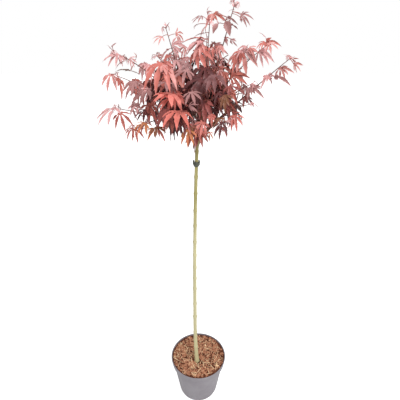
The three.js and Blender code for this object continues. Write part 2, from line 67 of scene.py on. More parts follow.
# The bark mulch: how high it lies, swells and ripples, how it sinks at the trunk ("hollow" in the radii
# of the trunk's foot: from where and how wide), its dark bed, and how its loose pieces pile up. A piece
# keeps a millimetre and a share of its length off the wall and the trunk.
MULCH = {
    "surface": 166, "crown": 2.5, "rough": 1.4, "ripples": ((0.23, 0.11), (-0.07, 0.19)),
    "hollow": (1.5, 2), "sunk_at_trunk": 0.4, "gap": 0.3, "rings": 60, "spokes": 160,
    "bed_depth": 1.2, "lumps": 0.55, "fade": 3, "pile": (-0.9, 1.5), "from_wall": (1, 0.42),
    "from_trunk": (1, 0.3),
}

# A piece of bark: how far it bends up and aside, tapers, twists, and differs in width and thickness
# from station to station, and the corners of its section
SHRED = {
    "stations": 5, "bow": 0.05, "sweep": 0.12, "taper": 0.55, "twist": 1.6, "ragged": (0.8, 1.15),
    "uneven": (0.7, 1.2), "section": ((-1, -0.8), (1, -0.8), (0.75, 1), (-0.75, 1)),
}

# The trunk: its middle line, its radii with the flare at its foot, the rings where leaves once stood,
# with the fine ridge and groove of each (how far out and how far up), the ribs at its foot, the knobs
# under its top, its two bud stubs, and the graft's swelling with how far under its top the boughs fork.
# "pale" and "graft" are the heights between which the bark's colour changes.
TRUNK_LINE = [
    (-4.5, -24, 158), (-7.6, -20, 215), (-10.4, -12, 300), (-10.6, -7, 430),
    (-9.6, -3, 635), (-6, -1, 837), (-3.6, 0, 911), (-1, 0, 990),
]
TRUNK = {
    "foot": 6.4, "top": 4.4, "flare": 2.6, "flare_height": 22, "ground": 166.3, "sides": 40,
    "step": 1.6, "pale": (840, 600), "graft": (920, 1000),
}
TRUNK_NODES = (236, 300, 367, 425, 488, 530, 573, 618, 665, 722, 772, 826, 877, 948)
NODE_SWELL = {"height": 5, "bulge": 0.9}
LEAF_RING = {"lines": ((0.35, 1.5), (-0.25, -1)), "width": 0.9}
ROOT_RIBS = {"count": 5, "height": 1.1, "turn": 1.1, "reach": 14}
KNOBS = {"height": 0.5, "below_top": 34, "fade": 20, "stretch": 6}
BUD_STUB = {
    "height": 367, "reach": 10, "rise": 6, "root": 2.2, "tip": 1.1, "stations": 9, "sides": 12,
}
GRAFT = {"bulge": 5, "spread": 11, "forks": 8.8}

# Bark: the streaks as waves round a limb and their turn along it, the swells between them, and the
# breathing pores
STREAKS = ((5, 0.011), (9, -0.023), (14, 0.041))
SWELLS = {"waves": 3, "rate": 0.31, "share": 0.5}
PORE = {"height": 0.3, "half_length": 0.9, "narrow": 42}

# The tie: each strap's rise, tilt, turn, half width, half depth, height and thickness, how its edges are
# rounded and its surface waves, and the points and radius of the knotted ends beside the stem
TIE = {
    "middle": 915,
    "straps": (
        (-2.2, 1.6, 0.2, 6.6, 5.6, 8.6, 2.4), (1.6, -2.4, 0.6, 7.0, 5.9, 6.4, 2.2),
        (-0.4, 3.0, 2.1, 7.2, 6.1, 3.6, 1.9)),
    "knots": ((6.8, 2.4, -5), (7.3, 1.2, -1), (7.5, 0.6, 4), (7.2, 1.0, 9.2)),
    "knot_radius": 1.9, "knot_bulge": 0.35, "knot_sides": 12, "steps": 64, "around": 10,
    "squareness": 0.6, "waves": 5, "wave_up": 0.25, "wave_out": 0.3,
}

# The branches of the crown: where each forks, its tip, how far its middle is lifted, the size
# of its leaves, and the tones of its leaves from its foot to its tip. The tones darken towards the
# foot, deep in the crown: partly painted shade, partly the paler young leaves towards the tips.
BRANCHES = {
    "top_right_spire": dict(tip=(80, -20, 1286), arch=4, tones="mauve salmon rose"),
    "top_middle": dict(
        stem="top_right_spire", at=0.2, tip=(26, -62, 1250), arch=8, tones="mauve salmon rose"),
    "top_back": dict(
        stem="top_right_spire", at=0.15, tip=(24, 88, 1216), arch=16, tones="plum mauve salmon"),
    "right_high": dict(
        stem="top_right_spire", at=0.22, tip=(148, -56, 1206), arch=14, tones="mauve salmon pink"),
    "top_left_spire": dict(tip=(-70, 0, 1238), arch=4, tones="plum mauve rose"),
    "left_high": dict(
        stem="top_left_spire", at=0.22, tip=(-184, -30, 1190), arch=20, leaf=0.85,
        tones="mauve salmon pink"),
    "back_left_high": dict(
        stem="top_left_spire", at=0.16, tip=(-108, 108, 1172), arch=22, tones="plum mauve salmon"),
    "left_middle": dict(tip=(-172, -72, 1146), arch=24, tones="plum mauve coral"),
    "left_low": dict(
        stem="left_middle", at=0.2, tip=(-182, -84, 1080), arch=4, leaf=0.75,
        tones="bronze salmon pink"),
    "left_front_low": dict(
        stem="left_middle", at=0.12, tip=(-92, -122, 1082), arch=16, leaf=0.85,
        tones="bronze orange coral"),
    "front_high": dict(tip=(-66, -150, 1178), arch=26, tones="mauve mauve salmon"),
    "front_middle": dict(
        stem="front_high", at=0.2, tip=(-24, -190, 1118), arch=26, tones="maroon coral coral"),
    "front_low": dict(
        stem="front_high", at=0.12, tip=(-30, -138, 1062), arch=26, tones="maroon orange coral"),
    "front_right": dict(tip=(44, -162, 1160), arch=26, tones="plum mauve mauve"),
    "front_hanging": dict(
        stem="front_right", at=0.12, tip=(46, -118, 1062), arch=24, tones="plum maroon coral"),
    "right_front": dict(
        stem="front_right", at=0.2, tip=(116, -104, 1136), arch=12, tones="plum bronze maroon"),
    "right_middle": dict(tip=(208, -20, 1176), arch=4, tones="plum maroon salmon"),
    "right_low": dict(
        stem="right_middle", at=0.18, tip=(124, -52, 1082), arch=10, leaf=0.85,
        tones="plum maroon coral"),
    "back_right_low": dict(
        stem="right_middle", at=0.12, tip=(112, 112, 1084), arch=28, tones="plum bronze orange"),
    "back_middle": dict(tip=(18, 186, 1122), arch=34, tones="plum mauve coral"),
    "back_low": dict(
        stem="back_middle", at=0.14, tip=(2, 146, 1062), arch=24, tones="plum orange coral"),
    "back_right_high": dict(
        stem="back_middle", at=0.18, tip=(120, 96, 1170), arch=20, tones="mauve salmon pink"),
    "back_left_low": dict(
        stem="back_middle", at=0.2, tip=(-128, 104, 1086), arch=30, tones="plum maroon coral"),
}

# The wood of a branch: "split" is where its bough ends and its shoot begins, and "overlap" how far the
# bough runs into the shoot. Shoots are "slim" beyond their feet.
BRANCH = {
    "split": 0.34, "overlap": 0.004, "root": 4.4, "fork": 3.2, "tip": 1.1, "fineness": 1.3,
    "sides": 14, "slim": 0.7, "slims_by": 6, "collar": 0.9, "collar_length": 5, "stations": 34,
}

# The rule by which the shoots grow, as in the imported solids. "lean" is a direction as shares of the
# shoot's side, of the way that it grows and of up. "bare" is how many of a twig's first points carry
# no seen leaf.
SHOOT = {
    "node_gap": 25, "nodes": (0.04, 0.97), "fewest": 3, "gap": 0.3, "wander": 40, "stations": 60,
    "sides": 9,
}
TWIG = {
    "root": 1.3, "tip": 0.9, "length": (44, 66), "at_nodes": 2, "shares": (0.5, 0.96),
    "sizes": (0.95, 0.72), "lean": (0.8, 0.55, 0.25), "bow": 0.08, "sides": 8, "stations": 12,
    "bare": 2,
}
STALK = {
    "length": (24, 40), "radius": 0.62, "lean": (0.85, 0.45, 0.3), "bow": 0.1, "flare": 0.7,
    "flare_ends": 12, "stations": 8, "sides": 6,
}
LEAF = {
    "length": (50, 66), "young": 0.5, "droop": (28, 72), "roll": 22, "wander": 50, "curl": 0.34,
    "spread": 0.85, "middle": 0.45,
}
YOUNG_TIP = {"share": 0.99, "size": 0.24, "stalk": 0.5, "tone": "rose"}
NEARLY_UPRIGHT = 0.03  # a direction whose level part squared is less counts as upright

# The lobes of a leaf: degrees from the middle one, and length as a share of it
LOBES = ((-122, 0.18), (-84, 0.64), (-42, 0.92), (0, 1.0), (42, 0.92), (84, 0.64), (122, 0.18))
LOBE_STATIONS = 12
LOBE_WIDTH = ((0, 0.15, 0.35, 0.5, 0.7, 0.88, 1), (0.034, 0.06, 0.1, 0.107, 0.076, 0.032, 0))
SHORT_LOBE = 0.35  # how much of the middle lobe's width a very short one has
NOTCH = 0.14  # how far from the joint the cuts between the lobes end
RIB_START = 0.98  # where a lobe's rib starts, as a share of that, but in a short lobe no later than halfway
HEEL = {"degrees": 40, "notch": 0.05}  # the cuts behind the outermost lobes
TEETH = 0.1  # how far the edge of a lobe swings in and out, as a share of its width
SLENDER = ((20, 60), (0.78, 1.0))  # lobe width as a share, by leaf length: young ones are slender
CLOSED = ((0, 0.05), (3.4, 1.0))  # lobe width as a share, by spread: closed leaves are broad

# How a blade's lobes differ: their lengths, how far they open, how they sway and hang, and the fold
# and ripple along their ribs
BLADE = {
    "lengths": (0.84, 1.06), "closed": 0.1, "opening": 1.6, "narrow": 0.35, "uneven": (0.95, 1.05),
    "sway": 0.09, "hang": (0.3, 0.65), "fold": (0.4, 0.75), "ripple": 0.012, "ripples": 17, "phase": 6,
    "outer_sag": 0.7,
}

# Leaves that the photograph shows one by one, under the branch that carries them: the pixel of the
# stalk's end, the pixel of the middle lobe's tip, the tone, how many degrees the blade is turned
# aside about its middle lobe, how far its lobes are spread, and the length of one that points ahead
SEEN_LEAVES = {
    "top_right_spire": (
        (234, 7, 233, 1, "rose", 30, 0.3), (235, 7, 239, 3, "rose", 40, 0.3),
        (234, 10, 229, 12, "rose", 40, 0.3), (241, 15, 250, 25, "mauve", 15, 0.7),
        (240, 17, 242, 21, "maroon", 30, 0.5), (242, 14, 247, 15, "rose", 40, 0.3),
        (225, 20, 230, 35, "mauve", 5, 0.0), (219, 23, 214, 33, "mauve", 10, 0.0),
        (213, 14, 206, 29, "salmon", 10, 0.35), (213, 14, 225, 25, "brick", 15, 0.35),
        (228, 17, 237, 25, "mauve", 50, 0.1), (231, 24, 237, 29, "maroon", 50, 0.1),
        (216, 14, 222, 16, "rose", 50, 0.2), (225, 37, 228, 45, "rose", 25, 0.4),
        (231, 39, 237, 46, "rose", 55, 0.4), (213, 47, 216, 58, "coral", 5, 0.8, 40),
        (214, 47, 228, 55, "rose", 30, 0.4), (211, 52, 203, 66, "salmon", 20, 0.6),
        (219, 46, 220, 58, "salmon", 20, 0.5), (209, 58, 212, 70, "salmon", 10, 0.7),
        (217, 48, 223, 58, "salmon", 10, 0.8), (219, 57, 222, 69, "rose", 10, 0.5),
        (223, 58, 224, 67, "mauve", 20, 0.7)),
    "top_middle": (
        (202, 16, 193, 23, "mauve", 35, 0.7), (207, 12, 212, 11, "rose", 40, 0.4),
        (198, 24, 194, 29, "mauve", 50, 0.4), (205, 33, 195, 37, "mauve", 60, 0.4),
        (204, 40, 185, 58, "rose", 30, 0.3), (205, 39, 181, 45, "salmon", 50, 0.2),
        (201, 42, 192, 62, "salmon", 10, 0.5), (196, 49, 206, 71, "coral", 10, 0.7)),
    "right_high": (
        (241, 51, 233, 74, "coral", 15, 0.4), (243, 50, 248, 75, "salmon", 15, 0.65),
        (244, 53, 248, 45, "rose", 25, 0.4), (266, 38, 260, 34, "rose", 40, 0.4),
        (264, 42, 261, 50, "coral", 20, 0.5), (269, 43, 272, 54, "salmon", 5, 0.9),
        (259, 51, 268, 65, "rose", 10, 0.8), (249, 48, 256, 59, "salmon", 20, 0.6),
        (237, 55, 228, 67, "salmon", 30, 0.5), (266, 42, 280, 48, "coral", 35, 0.25),
        (265, 42, 256, 48, "coral", 25, 0.4), (260, 51, 273, 63, "rose", 30, 0.2),
        (244, 50, 256, 61, "mauve", 40, 0.15), (246, 46, 236, 58, "rose", 25, 0.4)),
    "top_left_spire": (
        (162, 37, 154, 43, "salmon", 20, 0.8), (166, 26, 163, 22, "rose", 40, 0.3),
        (167, 27, 170, 23, "rose", -40, 0.3), (176, 34, 183, 42, "salmon", 0, 0.9, 30),
        (169, 49, 160, 61, "mauve", 30, 0.1), (172, 45, 188, 51, "rose", 30, 0.5),
        (177, 47, 176, 58, "rose", -25, 0.3), (182, 64, 192, 75, "pink", 15, 0.6, 44),
        (175, 50, 177, 63, "rose", 15, 0.7), (183, 62, 178, 75, "rose", 0, 0.9, 46),
        (176, 60, 172, 70, "rose", 10, 0.7, 40), (188, 57, 183, 68, "rose", 15, 0.6),
        (185, 47, 181, 58, "salmon", 10, 0.7)),
    "left_high": (
        (118, 54, 109, 67, "rose", 15, 0.8), (123, 56, 128, 64, "mauve", -35, 0.5),
        (124, 61, 116, 69, "mauve", 60, 0.4), (130, 58, 134, 67, "rose", 30, 0.6),
        (136, 59, 134, 53, "salmon", 40, 0.4), (112, 47, 116, 43, "rose", 60, 0.1),
        (110, 48, 107, 46, "rose", 50, 0.1), (130, 71, 115, 72, "bronze", 70, 0.3),
        (131, 71, 140, 75, "bronze", -65, 0.4), (146, 63, 143, 81, "rose", 20, 0.55),
        (148, 64, 150, 82, "rose", -30, 0.5), (117, 55, 103, 62, "rose", 40, 0.3),
        (120, 56, 123, 66, "rose", 20, 0.4), (147, 63, 139, 69, "rose", 30, 0.3)),
    "back_left_high": (
        (157, 56, 151, 60, "rose", 30, 0.5), (158, 56, 163, 58, "salmon", 30, 0.5)),
    "left_middle": (
        (111, 74, 108, 92, "salmon", 15, 0.6), (119, 78, 122, 99, "brick", -40, 0.3),
        (135, 81, 126, 99, "mauve", 20, 0.5), (137, 85, 132, 94, "coral", 30, 0.5),
        (137, 82, 142, 92, "mauve", 25, 0.5), (148, 88, 131, 105, "mauve", 25, 0.7),
        (149, 90, 142, 103, "rose", -30, 0.6), (151, 103, 153, 118, "brick", 25, 0.7)),
    "left_low": (
        (120, 113, 125, 132, "brick", 10, 0.85), (114, 108, 99, 126, "rose", 40, 0.6),
        (118, 106, 122, 109, "mauve", 55, 0.4), (138, 104, 131, 115, "rose", 10, 0.8),
        (145, 110, 138, 121, "plum", 15, 0.7), (135, 129, 138, 143, "coral", 10, 1.0),
        (132, 128, 129, 140, "coral", 20, 0.7), (140, 104, 128, 109, "rose", 35, 0.4),
        (132, 106, 141, 117, "mauve", 25, 0.6), (134, 125, 127, 130, "rose", 35, 0.5)),
    "left_front_low": (
        (145, 123, 138, 136, "orange", 15, 0.8), (157, 127, 157, 138, "bronze", 5, 1.0, 36),
        (157, 128, 148, 141, "orange", 25, 0.4), (158, 128, 165, 142, "brick", 15, 0.4),
        (166, 109, 165, 134, "maroon", 20, 0.5), (169, 112, 173, 135, "brick", -35, 0.5)),
    "front_high": (
        (161, 63, 155, 94, "coral", 10, 0.75), (164, 64, 176, 90, "salmon", -20, 0.3),
        (164, 61, 174, 65, "coral", 40, 0.7), (186, 70, 183, 84, "mauve", 0, 0.8, 38),
        # Five leaves below take a brighter copy of flame: painted light against the shade of the leaves
        # above
        (166, 82, 166, 92, "mauve", 0, 1.0, 44), (170, 93, 168, 107, "ember", 0, 0.8, 60),
        (171, 98, 162, 112, "ember", 15, 0.8), (175, 97, 182, 112, "ember", 10, 0.7),
        (168, 94, 153, 103, "ember", 30, 0.4), (172, 94, 188, 106, "ember", 30, 0.4),
        (173, 85, 177, 97, "mauve", 20, 0.6)),
    "front_middle": (
        (191, 92, 195, 105, "mauve", 0, 0.9, 34), (178, 111, 175, 130, "flame", 5, 0.75, 60),
        (189, 106, 198, 111, "rose", 25, 0.5)),
    "front_low": (
        (194, 123, 205, 134, "salmon", 25, 0.7), (192, 125, 188, 137, "bronze", 20, 0.8),
        (188, 130, 187, 147, "orange", 10, 0.6), (198, 130, 202, 142, "brick", 10, 0.9),
        (196, 137, 195, 152, "mauve", 65, 0.5), (180, 120, 181, 134, "plum", 25, 0.7),
        (197, 126, 195, 141, "coral", -20, 0.8), (186, 122, 184, 137, "maroon", 15, 0.8),
        (192, 118, 193, 135, "mauve", 10, 0.9), (203, 122, 200, 138, "coral", -15, 0.8),
        (199, 131, 203, 147, "brick", 10, 0.6), (195, 131, 190, 148, "maroon", 10, 0.6)),
    "front_right": (
        (214, 75, 216, 93, "dusk", 0, 0.7, 42), (212, 76, 202, 88, "dusk", 25, 0.15),
        (203, 101, 207, 126, "maroon", 20, 0.5), (201, 103, 201, 121, "bronze", -30, 0.5)),
    "front_hanging": (
        (223, 118, 214, 130, "bronze", 20, 0.7), (222, 122, 221, 140, "plum", 5, 0.8),
        (221, 126, 219, 137, "maroon", 0, 0.4), (224, 127, 228, 137, "maroon", 10, 0.3),
        (220, 98, 221, 112, "maroon", 10, 0.8), (226, 121, 228, 127, "rose", 30, 0.8),
        (212, 114, 211, 128, "coral", 20, 0.35), (209, 132, 209, 141, "orange", 10, 0.9),
        (202, 130, 204, 142, "plum", 30, 0.6)),
    "right_front": (
        (231, 76, 247, 86, "brick", 25, 0.6), (235, 74, 250, 79, "brick", 40, 0.25),
        (229, 86, 238, 104, "maroon", 10, 0.8), (225, 95, 225, 113, "bronze", 15, 0.45),
        (231, 91, 238, 105, "brick", 30, 0.3), (219, 93, 222, 108, "plum", 10, 0.8),
        (224, 72, 227, 85, "brick", 20, 0.5)),
    "right_middle": (
        (268, 75, 261, 89, "rose", 20, 0.35), (269, 76, 272, 84, "mauve", 20, 0.3),
        (274, 77, 289, 88, "mauve", 20, 0.15), (268, 75, 275, 78, "rose", 30, 0.3),
        (280, 68, 284, 81, "salmon", 0, 0.9), (281, 68, 293, 74, "salmon", 30, 0.3),
        (294, 65, 300, 71, "salmon", 25, 0.7), (294, 64, 302, 67, "coral", 35, 0.3),
        (292, 59, 284, 55, "rose", 35, 0.4), (293, 60, 298, 61, "coral", 45, 0.4),
        (250, 87, 263, 100, "mauve", 20, 0.35), (250, 87, 248, 100, "mauve", 10, 0.4),
        (250, 86, 261, 89, "mauve", 35, 0.2), (248, 88, 242, 95, "mauve", 30, 0.4),
        (245, 97, 253, 108, "dusk", 15, 0.4), (245, 97, 244, 108, "maroon", 15, 0.4)),
    "right_low": (
        (234, 115, 238, 132, "coral", 5, 0.7), (233, 117, 229, 128, "coral", 20, 0.6),
        (233, 114, 240, 112, "coral", 20, 0.3), (229, 101, 236, 112, "brick", 50, 0.1),
        (226, 106, 231, 119, "maroon", 25, 0.25)),
}

# How seen leaves are placed: their stalks' lengths, how far from the wood a leaf gets a twig of its
# own, how many points back along the wood that starts and its bow and stations, the least length of a
# leaf ("spare" times as long as it looks, or "ahead" times and "least" more), how far its tip runs past
# its pixel, its curl, how far its face is lifted, the share that hangs behind the wood outside "before"
# times the heart, and how slender a leaf is outside the heart
SEEN = {
    "stalk": (18, 32), "far": 40, "back": 4, "bow": 0.1, "stations": 10, "spare": 1.04, "ahead": 0.7,
    "least": 8, "past": 3, "curl": (0.2, 0.5), "lift": 0.6, "behind": 0.45, "before": 1.3,
    "slender": 0.9,
}

# The dense heart of the crown: in the photograph the pixel of its middle and its half axes, and in
# space its centre and reach. Outside it a grown leaf stands only within "near" pixels of a seen one,
# so that the sky shows where it does there. Within "cover" pixels of a seen one it stands "behind"
# millimetres farther off. Grown leaves in the heart take its darker tones, painted shade of the dense
# crown, and where they stand more than "deep" in front of the pot's middle the front tone, a painted
# deeper shade.
HEART = {
    "middle": (185, 99), "half": (42, 35), "behind": 12, "cover": 13, "near": 3, "deep": 60,
    "centre": np.array([-8, 0, 1100]), "reach": np.array([145, 145, 80]),
}

# Tones of the leaves, as seen in daylight (0 to 255): the blade and its patches
LEAF_TONES = {
    "pink": ((234, 192, 191), (218, 160, 159)),
    "rose": ((218, 168, 167), (198, 138, 136)),
    "salmon": ((212, 150, 144), (194, 120, 112)),
    "coral": ((204, 118, 108), (182, 99, 89)),
    "flame": ((218, 122, 110), (198, 104, 92)),
    # Painted light: a brighter copy of flame, for leaves that lie in the shade of the leaves above them
    "ember": ((246, 146, 134), (226, 124, 112)),
    "orange": ((204, 114, 82), (170, 114, 66)),
    "brick": ((186, 108, 96), (156, 80, 72)),
    "bronze": ((134, 84, 64), (118, 78, 51)),
    "dusk": ((130, 86, 86), (100, 60, 60)),
    "maroon": ((158, 85, 80), (122, 62, 60)),
    "mauve": ((174, 126, 124), (144, 96, 94)),
    "plum": ((100, 50, 50), (74, 38, 40)),
}
# Painted shade: darker tones for grown leaves inside the crown's heart, and the darkest for those at its
# front, where the crown's own shade falls
HEART_SHADE_TONES = ("plum", "plum", "maroon", "maroon", "dusk", "brick")
FRONT_SHADE_TONE = "plum"


# Small helpers

def linear(colour):
    """A colour of 0 to 255 as the shader takes it."""
    shares = [channel / 255 for channel in colour]
    return [s / 12.92 if s <= 0.04045 else ((s + 0.055) / 1.055) ** 2.4 for s in shares] + [1.0]


def seeded(seed):
    """Draws from 0 to 1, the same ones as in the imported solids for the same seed."""
    full = 0xFFFFFFFF
    state = seed & full

    def draw():
        nonlocal state
        state = (state + 0x6D2B79F5) & full
        mixed = ((state ^ (state >> 15)) * (state | 1)) & full
        mixed = ((mixed + ((mixed ^ (mixed >> 7)) * (mixed | 61) & full)) & full) ^ mixed
        return ((mixed ^ (mixed >> 14)) & full) / (full + 1)

    return draw


def between(span, share):
    return span[0] + (span[1] - span[0]) * share


def unit(vector):
    return vector / max(np.linalg.norm(vector), 1e-12)


def turned(vector, axis, angle):
    """The vector turned about a unit axis."""
    along = axis * np.dot(axis, vector)
    return along + (vector - along) * math.cos(angle) + np.cross(axis, vector) * math.sin(angle)


def ring_faces(rows, around, first=0, closed=False):
    """Four-sided faces between rings of points that follow one another."""
    faces = []
    for row in range(rows if closed else rows - 1):
        low, high = first + row * around, first + (row + 1) % rows * around
        for k in range(around):
            after = (k + 1) % around
            faces.append((low + k, low + after, high + after, high + k))
    return faces


def bump_at(value, middle, spread):
    return np.exp(-(((value - middle) / spread) ** 2))


class Line:
    """A curve through close points, read at a share of its length."""

    def __init__(self, points):
        self.points = np.asarray(points, float)
        steps = np.linalg.norm(np.diff(self.points, axis=0), axis=1)
        self.along = np.concatenate([[0], np.cumsum(steps)])
        self.length = self.along[-1]

    def at(self, share):
        where = share * self.length
        return np.array([np.interp(where, self.along, self.points[:, k]) for k in range(3)])

    def direction(self, share):
        low, high = max(0, share - 0.01), min(1, share + 0.01)
        return unit(self.at(high) - self.at(low))

    def part(self, low, high, count):
        return Line([self.at(share) for share in np.linspace(low, high, count)])


def bowed(root, tip, rise, count=80):
    """A line from root to tip that bends, its bend lifted by rise."""
    share = np.linspace(0, 1, count)[:, None]
    bend = (root + tip) / 2 + UP * rise
    return Line((1 - share) ** 2 * root + 2 * share * (1 - share) * bend + share**2 * tip)


def smooth_through(corners, per_span=24):
    """A centripetal Catmull-Rom line through the corners."""
    corners = np.asarray(corners, float)
    padded = np.vstack([2 * corners[0] - corners[1], corners, 2 * corners[-1] - corners[-2]])
    points = []
    for a, b, c, d in zip(padded, padded[1:], padded[2:], padded[3:]):
        gap_in, gap, gap_out = (math.sqrt(np.linalg.norm(q - p)) for p, q in ((a, b), (b, c), (c, d)))
        leave = ((b - a) / gap_in - (c - a) / (gap_in + gap) + (c - b) / gap) * gap
        arrive = ((c - b) / gap - (d - b) / (gap + gap_out) + (d - c) / gap_out) * gap
        for t in np.arange(per_span) / per_span:
            square, cube = t * t, t * t * t
            points.append(
                (2 * cube - 3 * square + 1) * b + (cube - 2 * square + t) * leave
                + (3 * square - 2 * cube) * c + (cube - square) * arrive)
    return Line([*points, corners[-1]])


class Heap:
    """Points and faces gathered from many small shapes, in millimetres."""

    def __init__(self):
        self.points = []
        self.faces = []
        self.count = 0

    def add(self, points, faces):
        self.faces.extend(tuple(corner + self.count for corner in face) for face in faces)
        self.points.append(points)
        self.count += len(points)

    def piece(self, name, material, slot, stands_for=(), smooth=True):
        """The heap as one piece that rides on the plant."""
        mesh = bpy.data.meshes.new(name)
        mesh.from_pydata((np.vstack(self.points) * MM).tolist(), [], self.faces)
        mesh.validate()
        mesh.polygons.foreach_set("use_smooth", [smooth] * len(mesh.polygons))
        mesh.materials.append(material)
        mesh.update()
        made = bpy.data.objects.new(name, mesh)
        bpy.context.scene.collection.objects.link(made)
        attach(made, "root")
        if stands_for:
            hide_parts(*stands_for)
        return made


def frames_along(points):
    """Two directions across a line at each of its points, with no twist from one to the next."""
    ahead = np.gradient(points, axis=0)
    ahead /= np.linalg.norm(ahead, axis=1)[:, None]
    side = np.array((1, 0, 0.02))
    pairs = []
    for direction in ahead:
        side = side - direction * np.dot(direction, side)
        if np.linalg.norm(side) < 1e-3:
            side = np.cross(direction, (0.3, 1, 0.1))
        side = unit(side)
        pairs.append((side, np.cross(direction, side)))
    return np.array(pairs)


def tube(heap, points, radii, sides, relief=None):
    """A closed limb along the points. relief takes the angle round it and the distance along it."""
    points = np.asarray(points, float)
    angle = np.arange(sides) * FULL_TURN / sides
    across = frames_along(points)
    along = np.concatenate([[0], np.cumsum(np.linalg.norm(np.diff(points, axis=0), axis=1))])
    reach = np.repeat(np.asarray(radii, float)[:, None], sides, axis=1)
    if relief is not None:
        reach = reach + relief(angle[None, :], along[:, None])
    ring = across[:, 0, None] * np.cos(angle)[None, :, None]
    ring = ring + across[:, 1, None] * np.sin(angle)[None, :, None]
    made = (points[:, None] + ring * reach[:, :, None]).reshape(-1, 3)
    first, last, top = len(made), len(made) + 1, len(made) - sides
    faces = ring_faces(len(points), sides)
    for k in range(sides):
        after = (k + 1) % sides
        faces.append((first, after, k))
        faces.append((last, top + k, top + after))
    heap.add(np.vstack([made, points[0], points[-1]]), faces)


# Materials: the effects that several of them share

def effect(name, inputs, outputs):
    """An empty shader group with its sockets, and its two end nodes."""
    group = bpy.data.node_groups.new(name, "ShaderNodeTree")
    for title, kind, value in inputs:
        socket = group.interface.new_socket(name=title, in_out="INPUT", socket_type=kind)
        socket.default_value = value
    for title, kind in outputs:
        group.interface.new_socket(name=title, in_out="OUTPUT", socket_type=kind)
    return group, group.nodes.new("NodeGroupInput"), group.nodes.new("NodeGroupOutput")


def node(tree, kind, **settings):
    made = tree.nodes.new(kind)
    for name, value in settings.items():
        if hasattr(made, name):
            setattr(made, name, value)
        else:
            made.inputs[name.replace("_", " ")].default_value = value
    return made


def mix(tree, share, first, second):
    """A colour mix. first and second are sockets or colours."""
    made = node(tree, "ShaderNodeMix", data_type="RGBA")
    for socket, value in ((made.inputs[0], share), (made.inputs[6], first), (made.inputs[7], second)):
        if isinstance(value, bpy.types.NodeSocket):
            tree.links.new(value, socket)
        else:
            socket.default_value = value
    return made.outputs[2]


def ramp(tree, value, low, high):
    """0 below low, 1 above high, smooth between."""
    made = node(tree, "ShaderNodeMapRange", interpolation_type="SMOOTHSTEP", From_Min=low, From_Max=high)
    tree.links.new(value, made.inputs["Value"])
    return made.outputs["Result"]


def places(tree, stretch=(1, 1, 1)):
    """Places on the object, stretched where a pattern is longer one way."""
    where = tree.nodes.new("ShaderNodeTexCoord")
    scaled = node(tree, "ShaderNodeVectorMath", operation="MULTIPLY")
    tree.links.new(where.outputs["Object"], scaled.inputs[0])
    scaled.inputs[1].default_value = stretch
    return scaled.outputs[0]


COLOUR = "NodeSocketColor"
NUMBER = "NodeSocketFloat"
PLACE = "NodeSocketVector"
WHITE = (1, 1, 1, 1)
BLACK = (0, 0, 0, 1)


def cloudy_effect():
    """Patches of a second colour in the first, and their mask."""
    group, given, out = effect(
        "cloudy patches",
        [("Place", PLACE, (0, 0, 0)), ("First", COLOUR, WHITE), ("Second", COLOUR, BLACK),
         ("Scale", NUMBER, 20.0), ("Share", NUMBER, 0.5)],
        [("Colour", COLOUR), ("Mask", NUMBER)])
    noise = node(group, "ShaderNodeTexNoise", Detail=4.0, Roughness=0.6)
    group.links.new(given.outputs["Place"], noise.inputs["Vector"])
    group.links.new(given.outputs["Scale"], noise.inputs["Scale"])
    mask = ramp(group, noise.outputs["Fac"], 0.35, 0.65)
    part = node(group, "ShaderNodeMath", operation="MULTIPLY")
    group.links.new(mask, part.inputs[0])
    group.links.new(given.outputs["Share"], part.inputs[1])
    group.links.new(
        mix(group, part.outputs[0], given.outputs["First"], given.outputs["Second"]), out.inputs["Colour"])
    group.links.new(part.outputs[0], out.inputs["Mask"])
    return group


def grain_effect():
    """A fine relief of two sizes of noise."""
    group, given, out = effect(
        "fine grain",
        [("Place", PLACE, (0, 0, 0)), ("Scale", NUMBER, 200.0), ("Coarse share", NUMBER, 0.5)],
        [("Height", NUMBER)])
    fine = node(group, "ShaderNodeTexNoise", Detail=3.0)
    coarse = node(group, "ShaderNodeTexNoise", Detail=2.0)
    larger = node(group, "ShaderNodeMath", operation="MULTIPLY")
    larger.inputs[1].default_value = 0.22
    group.links.new(given.outputs["Scale"], larger.inputs[0])
    group.links.new(given.outputs["Scale"], fine.inputs["Scale"])
    group.links.new(larger.outputs[0], coarse.inputs["Scale"])
    for texture in (fine, coarse):
        group.links.new(given.outputs["Place"], texture.inputs["Vector"])
    weighed = node(group, "ShaderNodeMath", operation="MULTIPLY_ADD")
    group.links.new(coarse.outputs["Fac"], weighed.inputs[0])
    group.links.new(given.outputs["Coarse share"], weighed.inputs[1])
    group.links.new(fine.outputs["Fac"], weighed.inputs[2])
    group.links.new(weighed.outputs[0], out.inputs["Height"])
    return group


CLOUDY = cloudy_effect()
GRAIN = grain_effect()


